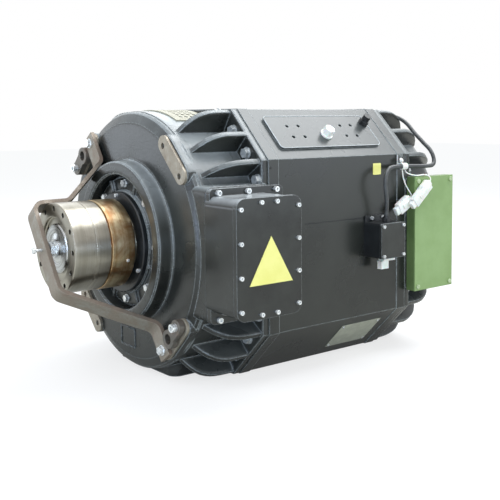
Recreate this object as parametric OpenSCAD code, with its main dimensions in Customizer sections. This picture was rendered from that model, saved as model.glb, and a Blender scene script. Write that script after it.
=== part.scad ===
// Traction machine: an octagonal stator frame between two ribbed end shields,
// with a drive hub, a transport strap across it, and the boxes and cables of
// the near side. Millimetres. The shaft runs along X, the drive end points to
// -X, +Z is up, and the origin is the centre of the drive hub's bolt face.

/* [Stator frame] */
// Width of the frame over its side faces
frame_w = 648; // [620:2:680]
// Height of the frame over its top and bottom faces
frame_h = 640; // [620:2:680]
// Length of the frame between the end shields
frame_len = 457; // [430:1:520]
// Leg of each corner chamfer
frame_chamfer = 117; // [105:1:122]
// Thickness of the wrapper plate
frame_wall = 16; // [12:1:20]
// Width of the raised band at each end of the frame
frame_band = 30; // [20:1:40]
// Depth of the wrapper plate below the end bands
band_step = 1.5; // [0.5:0.5:3]
// Length of the machined pad on the upper near chamfer
pad_len = 330; // [300:5:360]
// Width of that pad
pad_w = 104; // [90:2:110]
// Height of that pad
pad_rise = 4; // [2:1:8]

/* [End shields] */
// How far the round drum of both shields lies inside the frame's faces
drum_inset = 4; // [2:1:14]
// Wall of the drum
drum_wall = 15; // [12:1:20]
// Length of the drive end shield behind its mounting pads
front_len = 184; // [170:1:200]
// Length of the rear shield
rear_len = 165; // [150:1:190]
// Thickness of the octagonal flange of each shield
flange_t = 18; // [14:1:24]
// Thickness of a rib
rib_t = 12; // [10:1:16]
// Angle between neighbouring ribs
rib_step = 12.5; // [11:0.5:13]
// Length of a rib, from its tip to the frame
rib_len = 146; // [110:1:148]
// How far the feet under both shields reach from the frame
foot_len = 142; // [100:1:150]
// Width of those feet
foot_w = 264; // [220:2:300]
// Radius of the boss ring round the drive end bearing
boss_r = 198; // [190:1:210]
// Radius of the recess inside the boss ring
recess_r = 164; // [160:1:170]
// Height of the boss ring over the mounting pads
boss_rise = 30; // [20:1:36]

/* [Mounting pads] */
// Radius from the shaft to the pad holes
pad_hole_r = 290; // [286:1:294]
// Angle of each pad hole from the diagonal
pad_hole_step = 9.3; // [8.5:0.1:11]
// Diameter of a pad hole
pad_hole_d = 14; // [12:1:18]
// Depth of a pad hole behind the pad face
pad_hole_depth = 34; // [28:1:40]
// Width of a mounting pad
pad_plate_w = 40; // [34:1:46]
// Thickness of a mounting pad
pad_plate_t = 7; // [5:1:10]

/* [Drive hub] */
// Radius of the drive hub
hub_r = 105.8; // [100:0.2:107]
// Length of the steel hub
hub_len = 90; // [80:1:110]
// Number of tapped holes in the hub face
hub_holes = 12; // [8:1:12]
// Pitch circle diameter of those holes
hub_pcd = 186; // [176:1:188]
// Diameter of those holes
hub_hole_d = 12; // [10:1:14]
// Depth of those holes
hub_hole_depth = 26; // [18:1:34]
// Length of the bronze spacer ring
spacer_len = 59; // [50:1:70]
// Radius of the recess in the hub face
hub_recess_r = 74; // [66:1:78]
// Depth of the recess in the hub face
hub_recess = 9; // [6:1:12]

/* [Shaft and bearings] */
// Radius of the shaft in the drive hub
shaft_hub_r = 50; // [44:1:54]
// Radius of the shaft in the drive end bearing
shaft_de_r = 60; // [57:1:63]
// Radius of the shaft under the rotor core
shaft_core_r = 80; // [74:1:86]
// Radius of the shaft in the rear bearing
shaft_rear_r = 50; // [46:1:54]
// Radius of a drive end roller
roller_r = 10; // [8:0.5:11]
// Number of drive end rollers
rollers = 16; // [12:1:18]
// Width of the drive end bearing
de_bearing_w = 44; // [38:1:50]
// Radius of a rear bearing ball
ball_r = 11; // [9:0.5:12]
// Number of rear bearing balls
balls = 12; // [9:1:13]
// Width of the rear bearing
rear_bearing_w = 38; // [32:1:44]
// Thickness of each bearing ring
race_t = 12; // [10:0.5:14]

/* [Rotor and windings] */
// Outer radius of the stator core
core_r = 268; // [255:1:280]
// Bore radius of the stator core
core_bore_r = 186; // [180:1:192]
// Length of the stator and rotor cores
core_len = 300; // [260:1:330]
// Air gap between the cores
air_gap = 1.5; // [1:0.5:3]
// Number of stator slots
slots = 36; // [24:6:48]
// Depth of a stator slot
slot_depth = 38; // [30:1:44]
// Reach of the end windings beyond the core
winding_reach = 62; // [50:1:75]
// Number of rotor bars
bars = 28; // [20:2:34]

/* [Terminal box] */
// Width of the terminal box cover
box_w = 176; // [160:2:190]
// Height of the terminal box cover
box_h = 258; // [240:2:266]
// Depth of the terminal box over its cover
box_depth = 117; // [90:1:130]
// Thickness of the terminal box cover
lid_t = 12; // [8:1:14]
// Wall of the terminal box
box_wall = 9; // [7:1:12]
// Width of the terminal box flange
box_flange_w = 204; // [196:2:214]
// Height of the terminal box flange
box_flange_h = 296; // [288:2:310]
// Thickness of the terminal box flange
box_flange_t = 13; // [10:1:16]

/* [Near side boxes] */
// Width, height and depth of the sensor box
sensor_w = 84; // [74:1:90]
sensor_h = 88; // [78:1:94]
sensor_depth = 62; // [50:1:70]
// Length, height and depth of the auxiliary box
aux_w = 150; // [140:1:160]
aux_h = 300; // [280:1:300]
aux_depth = 29; // [22:1:40]

/* [Transport strap] */
// Width of the transport strap
strap_w = 44; // [38:1:50]
// Thickness of the transport strap
strap_t = 10; // [8:1:12]
// Distance of the strap in front of the hub face
strap_gap = 22; // [20:1:30]
// Clearance between the strap and the turning hub
strap_clear = 3; // [2:0.5:6]

/* [Hidden] */

fit_gap = 0.1;           // radial clearance between pieces of one body
run_gap = 0.3;           // radial clearance between pieces that turn on each other
cut = 1;                 // how far a cutting tool runs past a face
round_fn = 96;
small_fn = 32;

// places along the shaft
joint_gap = 3;           // groove between the steel hub and the spacer ring
spacer_to_cap = 12;
cap_rise = 26;           // bearing cap in front of the mounting pads
x_spacer = hub_len + joint_gap;
x_spacer_end = x_spacer + spacer_len;
x_cap = x_spacer_end + spacer_to_cap;
x_pad = x_cap + cap_rise;
x_face = x_pad + pad_plate_t;
x_frame = x_pad + front_len;
x_frame_end = x_frame + frame_len;
x_rear = x_frame_end + rear_len;
x_core = x_frame + (frame_len - core_len) / 2;
x_core_end = x_core + core_len;

half_w = frame_w / 2;
half_h = frame_h / 2;
drum_r = min(half_w, half_h) - drum_inset;
chamfer_y = half_w - frame_chamfer / 2;
chamfer_z = half_h - frame_chamfer / 2;
frame_corner_r = (half_w + half_h - frame_chamfer) / sqrt(2);   // from the shaft to a chamfer

black_paint = "#2b2f31";
bare_steel = "#b9b7b0";
rusty_steel = "#7d675c";
bronze = "#b08a4a";
zinc = "#c9ccce";
green_paint = "#8fb573";
yellow_paint = "#f2ec7c";
white_plastic = "#eef0ee";
dark_plastic = "#202325";
copper = "#b5713f";
lamination = "#6d7072";
rubber = "#17191a";

// ---- helpers ----

// A solid turned about the shaft. The points are [radius, x].
module turned(points, fn = round_fn)
    rotate([0, 90, 0]) rotate_extrude($fn = fn) polygon(points);

// A flat outline in Y and Z, run along the shaft from x0 to x1.
module run_x(x0, x1)
    translate([x0, 0, 0]) rotate([90, 0, 90]) linear_extrude(x1 - x0) children();

// A cylinder along +X.
module rod_x(x0, x1, r, fn = small_fn)
    translate([x0, 0, 0]) rotate([0, 90, 0]) cylinder(h = x1 - x0, r = r, $fn = fn);

// Places its children at radius r and angle a round the shaft; 0 is the near side, 90 is the top.
module polar(r, a)
    rotate([-a, 0, 0]) translate([0, -r, 0]) children();

module ring_of(n, r, phase = 0)
    for (i = [0:n - 1]) polar(r, phase + i * 360 / n) children();

// The near side face: local X along the shaft, local Y up, local Z outwards.
module near_side(x, z, out = 0)
    translate([x, -half_w - out, z]) rotate([90, 0, 0]) children();

// The upper near chamfer, with the same local axes.
module upper_chamfer(x, up = 0, out = 0)
    translate([x, -chamfer_y, chamfer_z]) rotate([45, 0, 0]) translate([0, up, out]) children();

// The lower near chamfer, with the same local axes.
module lower_chamfer(x, up = 0, out = 0)
    translate([x, -chamfer_y, -chamfer_z]) rotate([135, 0, 0]) translate([0, up, out]) children();

module rounded_rect(w, h, r) {
    square([w - 2 * r, h], center = true);
    square([w, h - 2 * r], center = true);
    for (sx = [-1, 1], sy = [-1, 1])
        translate([sx * (w / 2 - r), sy * (h / 2 - r)]) circle(r, $fn = small_fn);
}

module rounded_block(w, h, t, r)
    linear_extrude(t) rounded_rect(w, h, r);

// A slot with round ends, its length along local X.
module slot_shape(length, width) {
    square([length - width, width], center = true);
    for (s = [-1, 1]) translate([s * (length - width) / 2, 0]) circle(d = width, $fn = small_fn);
}

// The octagon of the frame, pulled in by inset all round.
module octagon(inset = 0) {
    w = half_w - inset;
    h = half_h - inset;
    c = frame_chamfer - inset * (2 - sqrt(2));
    polygon([[w, h - c], [w - c, h], [c - w, h], [-w, h - c],
             [-w, c - h], [c - w, -h], [w - c, -h], [w, c - h]]);
}

// A hexagon head screw that points down local Z, with its seat at the local origin.
module hex_screw(d, length) {
    washer_t = 0.18 * d;
    translate([0, 0, washer_t]) cylinder(h = 0.65 * d, d = 1.73 * d, $fn = 6);
    cylinder(h = washer_t, d = 2 * d, $fn = small_fn);
    translate([0, 0, -length]) cylinder(h = length + cut, d = d, $fn = small_fn);
}

// A socket head screw that points down local Z.
module socket_screw(d, length) {
    difference() {
        union() {
            cylinder(h = d, d = 1.6 * d, $fn = small_fn);
            translate([0, 0, -length]) cylinder(h = length + cut, d = d, $fn = small_fn);
        }
        translate([0, 0, d / 2]) cylinder(h = d, d = 0.9 * d, $fn = 6);
    }
}

// ---- stator frame ----

chamfer_hole_d = 9;
chamfer_hole_pitch = 36;
chamfer_hole_depth = 14;
chamfer_pad_x = x_frame + frame_len / 2 - 8;
hole_group_gap = [90, 86];   // of each group of holes, from the pad's middle
hole_group_x = [chamfer_pad_x - hole_group_gap[0], chamfer_pad_x + hole_group_gap[1]];
port_d = [20, 18];       // bores of the two plugged ports
port_gap = 152;
port_x = [chamfer_pad_x, chamfer_pad_x + port_gap];
port_up = [-13, 24];
side_screw_d = 5;

module wrapper_octagon() octagon(band_step);

module stator_frame() color(black_paint) {
    difference() {
        union() {
            run_x(x_frame, x_frame_end) wrapper_octagon();
            for (x = [x_frame, x_frame_end - frame_band]) run_x(x, x + frame_band) octagon();
            upper_chamfer(chamfer_pad_x, 0, -frame_wall)
                rounded_block(pad_len, pad_w, frame_wall + pad_rise, 10);
        }
        // the hollow between the two end plates
        run_x(x_frame + frame_band, x_frame_end - frame_band) octagon(frame_wall + band_step);
        rod_x(x_frame - cut, x_frame_end + cut, core_r + fit_gap, round_fn);
        for (x = hole_group_x, dx = [-1, 1], dy = [-1, 1])
            upper_chamfer(x + dx * chamfer_hole_pitch / 2, dy * chamfer_hole_pitch / 2, pad_rise - chamfer_hole_depth)
                cylinder(h = chamfer_hole_depth + cut, d = chamfer_hole_d, $fn = small_fn);
        for (i = [0, 1])
            upper_chamfer(port_x[i], port_up[i], -frame_wall - 2 * cut)
                cylinder(h = frame_wall + pad_rise + 3 * cut, d = port_d[i], $fn = small_fn);
        box_screw_holes(flange_screw_depth);
        shield_bolt_holes(x_frame - cut, x_frame + frame_band - 2);
        shield_bolt_holes(x_frame_end - frame_band + 2, x_frame_end + cut);
    }
    core_supports();
}

// Two plates inside the wrapper that carry the core between the end bands.
support_t = 14;
module core_supports()
    for (x = [x_core + 40, x_core_end - 40 - support_t])
        difference() {
            run_x(x, x + support_t) octagon(frame_wall + band_step - cut / 2);
            rod_x(x - cut, x + support_t + cut, core_r + fit_gap, round_fn);
        }

shield_bolt_d = 14;
shield_bolt_r = 345;
shield_bolt_angles = [-18, -6, 6, 18];

module at_shield_bolts()
    for (q = [45, 135, 225, 315], a = shield_bolt_angles) polar(shield_bolt_r, q + a) children();

module shield_bolt_holes(x0, x1)
    at_shield_bolts() rod_x(x0, x1, shield_bolt_d / 2 + fit_gap);

// Room for the bolt heads in whatever stands in front of the flange.
bolt_room = 34;
module spot_faces(x0, x1)
    at_shield_bolts() rod_x(x0, x1, shield_bolt_d + 2.5);

module front_shield_bolts() color(zinc)
    at_shield_bolts()
        translate([x_frame - flange_t, 0, 0]) rotate([0, -90, 0]) hex_screw(shield_bolt_d, flange_t + 24);

module rear_shield_bolts() color(zinc)
    at_shield_bolts()
        translate([x_frame_end + flange_t, 0, 0]) rotate([0, 90, 0]) hex_screw(shield_bolt_d, flange_t + 24);

// ---- stator core and windings ----

slot_w = 0.52 * 2 * PI * core_bore_r / slots;

module stator_core() color(lamination)
    difference() {
        rod_x(x_core, x_core_end, core_r, round_fn);
        rod_x(x_core - cut, x_core_end + cut, core_bore_r, round_fn);
        ring_of(slots, core_bore_r + slot_depth / 2 - cut)
            translate([x_core - cut, -slot_depth / 2 - cut, -slot_w / 2])
                cube([core_len + 2 * cut, slot_depth + cut, slot_w]);
    }

module stator_windings() color(copper) {
    coil_in = core_bore_r + 4;
    coil_out = core_bore_r + slot_depth - 2 * fit_gap;
    for (end = [[x_core - winding_reach, x_core - 3], [x_core_end + 3, x_core_end + winding_reach]])
        turned([[coil_in, end[0] + 8], [coil_in + 8, end[0]], [coil_out - 4, end[0]], [coil_out + 4, end[0] + 8],
                [coil_out + 4, end[1] - 6], [coil_out - 2, end[1]], [coil_in, end[1]]]);
    ring_of(slots, coil_in)
        translate([x_core - 4, -(coil_out - coil_in), -slot_w / 2 + 1])
            cube([core_len + 8, coil_out - coil_in, slot_w - 2]);
}

// ---- end shields ----

face_fillet = 5;
shoulder_r = drum_r - 27;       // where the flat face meets the sloped shoulder
shoulder_len = 17;
end_wall = 24;
recess_floor = x_pad + 10;
housing_bore_r = 132;           // bore of the shield that takes the bearing housing
box_boss_w = front_len - 12;
box_boss_h = box_flange_h + 2;
grille_angle = 23;              // half the angle that the front grille covers
rear_grille_angle = 12;
grille_x = x_pad + 68;
grille_len = 96;
rear_grille_len = 78;
rear_grille_x = x_frame_end + 68;

// One radial rib: it rises steeply from its tip on the drum, then runs flat to the frame.
rib_steps = 10;
rib_power = 4.2;         // how fast a rib rises behind its tip
rib_root = 8;            // depth of a rib in the wall of the drum

module rib(x_tip, x_end, angle) {
    rise = frame_corner_r - drum_r;
    ridge = [for (i = [0:rib_steps]) let (u = i / rib_steps)
        [x_tip + (x_end - x_tip) * u, -(drum_r + rise * (1 - pow(1 - u, rib_power)))]];
    polar(0, angle) translate([0, 0, -rib_t / 2]) linear_extrude(rib_t)
        polygon(concat([[x_end, rib_root - drum_r], [x_tip, rib_root - drum_r]], ridge));
}

module ribs(x_tip, x_end)
    intersection() {
        union()
            for (q = [45, 135, 225, 315], k = [-1, 0, 1]) rib(x_tip, x_end, q + k * rib_step);
        run_x(min(x_tip, x_end) - cut, max(x_tip, x_end) + cut) octagon(2);
    }

// A wedge upwards from the shaft, half_angle to each side.
module wedge(half_angle)
    polygon([[0, 0], for (s = [-1, 1]) 2 * drum_r * [s * sin(half_angle), cos(half_angle)]]);

// The opening in the top of a drum under its grille.
module grille_window(x, length, half_angle)
    intersection() {
        run_x(x, x + length) wedge(half_angle - 1.5);
        rod_x(x, x + length, drum_r + 20, round_fn);
    }

module pad_bosses()
    for (q = [45, 135, 225, 315])
        polar(0, q) translate([x_face, -pad_hole_r, 0]) rotate([0, 90, 0])
            linear_extrude(pad_hole_depth) slot_shape(pad_plate_l(), pad_plate_w + 8);

thread_step = 1;         // a screw's hole is this much narrower behind its pad

function pad_plate_l() = 2 * pad_hole_r * sin(pad_hole_step) + 44;

module pad_holes(x0, x1, d)
    for (q = [45, 135, 225, 315], s = [-1, 1])
        polar(pad_hole_r, q + s * pad_hole_step) rod_x(x0, x1, d / 2);

module drive_end_shield() color(black_paint)
    difference() {
        union() {
            turned([[drum_r, x_frame], [drum_r, x_face + shoulder_len + 6], [drum_r - 2.5, x_face + shoulder_len + 5],
                    [drum_r - 2.5, x_face + shoulder_len + 2], [drum_r - 1, x_face + shoulder_len],
                    [drum_r - 6, x_face + shoulder_len - 7], [shoulder_r, x_face],
                    [boss_r + face_fillet, x_face], [boss_r + 1.5, x_face - 1.5], [boss_r, x_face - face_fillet],
                    [boss_r - 2, x_pad - boss_rise + 3], [boss_r - 5, x_pad - boss_rise],
                    [recess_r + 3, x_pad - boss_rise], [recess_r, x_pad - boss_rise + 3], [recess_r, recess_floor],
                    [housing_bore_r, recess_floor], [housing_bore_r, recess_floor + end_wall],
                    [boss_r, recess_floor + end_wall], [shoulder_r - 12, x_face + end_wall],
                    [drum_r - drum_wall, x_face + end_wall + 22], [drum_r - drum_wall, x_frame]]);
            difference() {
                run_x(x_frame - flange_t, x_frame) octagon(2);
                rod_x(x_frame - flange_t - cut, x_frame + cut, drum_r - drum_wall, round_fn);
            }
            ribs(x_frame - rib_len, x_frame - flange_t / 2);
            foot(x_frame - foot_len, x_frame);
            intersection() {
                pad_bosses();
                rod_x(x_face, x_face + pad_hole_depth, drum_r, round_fn);
            }
            side_boss(x_frame - box_boss_w, x_frame, box_boss_h, 0);
        }
        pad_holes(x_face - cut, x_face + pad_hole_depth - 6, pad_hole_d - thread_step);
        shield_bolt_holes(x_frame - flange_t - cut, x_frame + cut);
        spot_faces(x_frame - flange_t - bolt_room, x_frame - flange_t);
        housing_bolt_holes(recess_floor - cut, recess_floor + end_wall - 2);
        grille_window(grille_x + 4, grille_len - 8, grille_angle);
        box_screw_holes(flange_screw_depth);
        box_cable_way();
    }

// A flat foot under a drum, level with the bottom of the frame.
module foot(x0, x1)
    difference() {
        translate([(x0 + x1) / 2, 0, -half_h]) linear_extrude(half_h / 2) rounded_rect(x1 - x0, foot_w, 25);
        rod_x(x0 - cut, x1 + cut, drum_r - drum_wall, round_fn);
    }

// A flat-faced block on the near side of a drum, flush with the side of the frame.
module side_boss(x0, x1, h, z)
    difference() {
        translate([(x0 + x1) / 2, -half_w, z]) rotate([-90, 0, 0]) linear_extrude(half_w / 2) rounded_rect(x1 - x0, h, 14);
        rod_x(x0 - cut, x1 + cut, drum_r - drum_wall, round_fn);
    }

module rear_end_shield() color(black_paint)
    difference() {
        union() {
            turned([[drum_r, x_frame_end], [drum_r, x_rear - 34], [drum_r - 8, x_rear - 16], [drum_r - 24, x_rear - 6],
                    [rear_boss_r + 30, x_rear], [rear_boss_r + 4, x_rear], [rear_boss_r, x_rear + 6],
                    [rear_boss_r, x_rear + 12], [rear_housing_r, x_rear + 12], [rear_housing_r, x_rear - end_wall],
                    [drum_r - 60, x_rear - end_wall - 6], [drum_r - drum_wall, x_rear - 60], [drum_r - drum_wall, x_frame_end]]);
            difference() {
                run_x(x_frame_end, x_frame_end + flange_t) octagon(2);
                rod_x(x_frame_end - cut, x_frame_end + flange_t + cut, drum_r - drum_wall, round_fn);
            }
            ribs(x_frame_end + rib_len, x_frame_end + flange_t / 2);
            foot(x_frame_end, x_frame_end + foot_len);
            cable_boss();
            side_boss(x_frame_end, x_frame_end + aux_w, aux_boss_h, aux_z);
        }
        shield_bolt_holes(x_frame_end - cut, x_frame_end + flange_t + cut);
        spot_faces(x_frame_end + flange_t, x_frame_end + flange_t + bolt_room);
        cable_boss_bore();
        rear_housing_holes(x_rear - end_wall - cut, x_rear + 12 + cut);
        grille_window(rear_grille_x + 4, rear_grille_len - 8, rear_grille_angle);
        aux_screw_holes(14);
    }

// Four bare steel pads in front of the drive end shield, each with two holes.
module mounting_pads() color(rusty_steel)
    difference() {
        for (q = [45, 135, 225, 315])
            polar(0, q) translate([x_pad, -pad_hole_r, 0]) rotate([0, 90, 0])
                linear_extrude(pad_plate_t) slot_shape(pad_plate_l(), pad_plate_w);
        pad_holes(x_pad - cut, x_face + cut, pad_hole_d);
    }

// A curved frame with a perforated sheet, seated on the drum.
grille_t = 3;
grille_hole = 8.4;
grille_pitch = 16;
module grille(x, length, half_angle) color("#b7b08c") {
    border = 10;
    rows = floor((length - 2 * border) / grille_pitch);
    step = grille_pitch / drum_r * 180 / PI;
    columns = floor(2 * (half_angle - border / drum_r * 180 / PI) / step);
    difference() {
        intersection() {
            run_x(x, x + length) wedge(half_angle);
            difference() {
                rod_x(x, x + length, drum_r + grille_t + fit_gap, round_fn);
                rod_x(x - cut, x + length + cut, drum_r + fit_gap, round_fn);
            }
        }
        for (i = [0:rows - 1], j = [0:columns - 1])
            polar(0, 90 + (j - (columns - 1) / 2) * step)
                translate([x + length / 2 + (i - (rows - 1) / 2) * grille_pitch, -drum_r - grille_t - cut, 0])
                    rotate([-90, 45, 0]) linear_extrude(2 * grille_t + 2 * cut) square(grille_hole, center = true);
    }
}

module air_grilles() {
    grille(grille_x, grille_len, grille_angle);
    grille(rear_grille_x, rear_grille_len, rear_grille_angle);
}

// ---- drive end bearing ----

housing_flange_r = recess_r - 6;
housing_flange_t = 14;
housing_nose_r = 125;
x_housing = recess_floor - housing_flange_t;
x_nose = x_pad - 14;
de_race_r = shaft_de_r + race_t;                  // outside of the inner ring
de_outer_r = de_race_r + 2 * roller_r + 2 * run_gap + race_t;
x_de_bearing = x_pad + 14;
x_de_bearing_end = x_de_bearing + de_bearing_w;
labyrinth_r = shaft_de_r + 27;
housing_bolt_r = (housing_flange_r + housing_nose_r) / 2;
housing_bolt_d = 10;
housing_bolts = 8;

module housing_bolt_holes(x0, x1)
    ring_of(housing_bolts, housing_bolt_r) rod_x(x0, x1, housing_bolt_d / 2 + fit_gap);

module bearing_housing() color("#33383b")
    difference() {
        union() {
            turned([[de_outer_r + fit_gap, x_nose], [housing_nose_r - 3, x_nose], [housing_nose_r, x_nose + 3],
                    [housing_nose_r, x_housing], [housing_flange_r - 2, x_housing], [housing_flange_r, x_housing + 2],
                    [housing_flange_r, recess_floor], [housing_bore_r - fit_gap, recess_floor],
                    [housing_bore_r - fit_gap, x_de_bearing_end + 12], [shaft_de_r + 16, x_de_bearing_end + 12],
                    [shaft_de_r + 16, x_de_bearing_end], [de_outer_r + fit_gap, x_de_bearing_end]]);
            // stiffening webs between the bolts
            ring_of(housing_bolts, 0, 180 / housing_bolts)
                translate([x_nose + 2, -housing_flange_r + 2, -3]) cube([x_housing - x_nose - 1, housing_flange_r - housing_nose_r, 6]);
        }
        housing_bolt_holes(x_housing - cut, recess_floor + cut);
        cap_screw_holes(x_nose - cut, x_nose + 22);
    }

module bearing_housing_bolts() color(zinc)
    ring_of(housing_bolts, housing_bolt_r)
        translate([x_housing, 0, 0]) rotate([0, -90, 0]) hex_screw(housing_bolt_d, housing_flange_t + 18);

cap_r = 122;
cap_screw_r = (cap_r + de_outer_r) / 2 + 0.5;
cap_screws = 3;
cap_screw_d = 6;

module cap_screw_holes(x0, x1)
    ring_of(cap_screws, cap_screw_r, 90) rod_x(x0, x1, cap_screw_d / 2 + fit_gap);

module bearing_cap() color(dark_plastic)
    difference() {
        turned([[labyrinth_r + 1.5, x_cap], [cap_r - 2, x_cap], [cap_r, x_cap + 2], [cap_r, x_nose],
                [de_outer_r - fit_gap, x_nose], [de_outer_r - fit_gap, x_de_bearing - fit_gap],
                [labyrinth_r + 1.5, x_de_bearing - fit_gap]]);
        cap_screw_holes(x_cap - cut, x_nose + cut);
    }

module bearing_cap_screws() color(zinc)
    ring_of(cap_screws, cap_screw_r, 90)
        translate([x_cap, 0, 0]) rotate([0, -90, 0]) socket_screw(cap_screw_d, x_nose - x_cap + 16);

module drive_end_outer_ring() color(bare_steel)
    turned([[de_outer_r - race_t, x_de_bearing], [de_outer_r, x_de_bearing], [de_outer_r, x_de_bearing_end],
            [de_outer_r - race_t, x_de_bearing_end]]);

module drive_end_inner_ring() color(bare_steel)
    turned([[shaft_de_r + fit_gap, x_de_bearing], [de_race_r, x_de_bearing], [de_race_r, x_de_bearing_end],
            [shaft_de_r + fit_gap, x_de_bearing_end]]);

// Rollers joined by their cage: two side rings and a stub of each roller in them.
module drive_end_roller_set() color(bronze) {
    pitch_r = de_race_r + run_gap + roller_r;
    ring_half = 0.45 * roller_r;
    for (x = [x_de_bearing + 2, x_de_bearing_end - 6])
        turned([[pitch_r - ring_half, x], [pitch_r + ring_half, x], [pitch_r + ring_half, x + 4], [pitch_r - ring_half, x + 4]]);
    ring_of(rollers, pitch_r) rod_x(x_de_bearing + 5.5, x_de_bearing_end - 5.5, roller_r);
}

module labyrinth_ring() color(bare_steel)
    turned([[shaft_de_r + fit_gap, x_spacer_end + 2], [labyrinth_r - 6, x_spacer_end + 2], [labyrinth_r - 6, x_cap + 3],
            [labyrinth_r, x_cap + 3], [labyrinth_r, x_cap + 12], [labyrinth_r - 4, x_cap + 12], [labyrinth_r - 4, x_cap + 17],
            [labyrinth_r, x_cap + 17], [labyrinth_r, x_de_bearing - 6], [shaft_de_r + race_t - 2, x_de_bearing - 6],
            [shaft_de_r + race_t - 2, x_de_bearing - fit_gap], [shaft_de_r + fit_gap, x_de_bearing - fit_gap]]);

// ---- rear bearing ----

rear_race_r = shaft_rear_r + race_t;
rear_outer_r = rear_race_r + 2 * ball_r - 8 + race_t;
x_rear_bearing = x_rear - 30;
x_rear_bearing_end = x_rear_bearing + rear_bearing_w;
rear_housing_r = rear_outer_r + 16;
rear_boss_r = rear_housing_r + 34;
rear_bolt_r = rear_housing_r + 17;
rear_bolt_d = 12;
rear_bolts = 8;

module rear_housing_holes(x0, x1)
    ring_of(rear_bolts, rear_bolt_r, 22.5) rod_x(x0, x1, rear_bolt_d / 2 + fit_gap);

module rear_bearing_housing() color("#33383b")
    difference() {
        turned([[rear_outer_r + fit_gap, x_rear + 24], [rear_boss_r - 2, x_rear + 24], [rear_boss_r - 2, x_rear + 12],
                [rear_housing_r - fit_gap, x_rear + 12], [rear_housing_r - fit_gap, x_rear_bearing - 10],
                [shaft_rear_r + 8, x_rear_bearing - 10], [shaft_rear_r + 8, x_rear_bearing],
                [rear_outer_r + fit_gap, x_rear_bearing]]);
        rear_housing_holes(x_rear, x_rear + 24 + cut);
    }

module rear_bearing_cover() color(black_paint)
    difference() {
        turned([[0, x_rear + 30], [rear_outer_r - race_t, x_rear + 30], [rear_outer_r - race_t, x_rear_bearing_end + fit_gap],
                [rear_outer_r - fit_gap, x_rear_bearing_end + fit_gap], [rear_outer_r - fit_gap, x_rear + 24],
                [rear_boss_r - 6, x_rear + 24], [rear_boss_r - 6, x_rear + 32], [rear_outer_r - 4, x_rear + 34],
                [rear_outer_r - 12, x_rear + 40], [0, x_rear + 40]]);
        rear_housing_holes(x_rear, x_rear + 50);
    }

module rear_cover_bolts() color(zinc)
    ring_of(rear_bolts, rear_bolt_r, 22.5)
        translate([x_rear + 33, 0, 0]) rotate([0, 90, 0]) hex_screw(rear_bolt_d, 33 + end_wall - 8);

module rear_outer_ring() color(bare_steel)
    ball_race(rear_outer_r, rear_outer_r - race_t);

module rear_inner_ring() color(bare_steel)
    ball_race(shaft_rear_r + fit_gap, rear_race_r);

ball_pitch_r = (rear_race_r + rear_outer_r - race_t) / 2;

// A bearing ring between two radii, with the ball groove cut in it.
module ball_race(r_a, r_b)
    difference() {
        turned([[min(r_a, r_b), x_rear_bearing], [max(r_a, r_b), x_rear_bearing],
                [max(r_a, r_b), x_rear_bearing_end], [min(r_a, r_b), x_rear_bearing_end]]);
        translate([(x_rear_bearing + x_rear_bearing_end) / 2, 0, 0]) rotate([0, 90, 0])
            rotate_extrude($fn = round_fn) translate([ball_pitch_r, 0]) circle(ball_r + run_gap, $fn = 48);
    }

module rear_ball_set() color(bronze) {
    middle = (x_rear_bearing + x_rear_bearing_end) / 2;
    turned([[ball_pitch_r - 2, middle - 2.5], [ball_pitch_r + 2, middle - 2.5], [ball_pitch_r + 2, middle + 2.5],
            [ball_pitch_r - 2, middle + 2.5]]);
    ring_of(balls, ball_pitch_r) translate([middle, 0, 0]) sphere(ball_r, $fn = 48);
}

// ---- shaft, hub and rotor ----

rotor_r = core_bore_r - air_gap;
x_shaft_end = x_rear_bearing_end + 8;
hub_bolt_d = 20;

module shaft() color(bare_steel)
    difference() {
        turned([[0, hub_recess + 6], [shaft_hub_r - 2, hub_recess + 6], [shaft_hub_r, hub_recess + 8],
                [shaft_hub_r, x_spacer_end + 2], [shaft_de_r, x_spacer_end + 2], [shaft_de_r, x_de_bearing_end],
                [shaft_de_r + 10, x_de_bearing_end], [shaft_de_r + 10, x_de_bearing_end + 22],
                [shaft_core_r, x_de_bearing_end + 34], [shaft_core_r, x_core_end + 40], [shaft_rear_r + 6, x_rear_bearing - 40],
                [shaft_rear_r + 6, x_rear_bearing], [shaft_rear_r, x_rear_bearing], [shaft_rear_r, x_shaft_end - 2],
                [shaft_rear_r - 2, x_shaft_end], [0, x_shaft_end]]);
        rod_x(hub_recess + 6 - cut, hub_recess + 50, hub_bolt_d / 2 + fit_gap);
    }

module drive_hub() color(bare_steel)
    difference() {
        turned([[shaft_hub_r + fit_gap, hub_recess], [hub_recess_r - 2, hub_recess], [hub_recess_r, hub_recess - 2],
                [hub_recess_r, 2], [hub_recess_r + 2, 0], [hub_r - 2, 0], [hub_r, 2],
                [hub_r, hub_len - 37], [hub_r - 0.8, hub_len - 36.5], [hub_r - 0.8, hub_len - 35.5], [hub_r, hub_len - 35],
                [hub_r, hub_len - 1], [hub_r - 1, hub_len], [shaft_hub_r + fit_gap, hub_len]]);
        ring_of(hub_holes, hub_pcd / 2) rod_x(-cut, hub_hole_depth, hub_hole_d / 2);
        for (a = [-38, 142]) polar(hub_recess_r - 8, a) rod_x(hub_recess - cut, hub_recess + 20, 5);
    }

module spacer_ring() color(bronze)
    turned([[shaft_hub_r + fit_gap, hub_len + fit_gap], [hub_r - 6, hub_len + fit_gap], [hub_r - 6, x_spacer],
            [hub_r - 0.5, x_spacer], [hub_r + 0.5, x_spacer + 1], [hub_r + 0.5, x_spacer_end - 2],
            [hub_r - 1.5, x_spacer_end], [shaft_hub_r + fit_gap, x_spacer_end]]);

plate_r = shaft_hub_r + 8;

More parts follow.
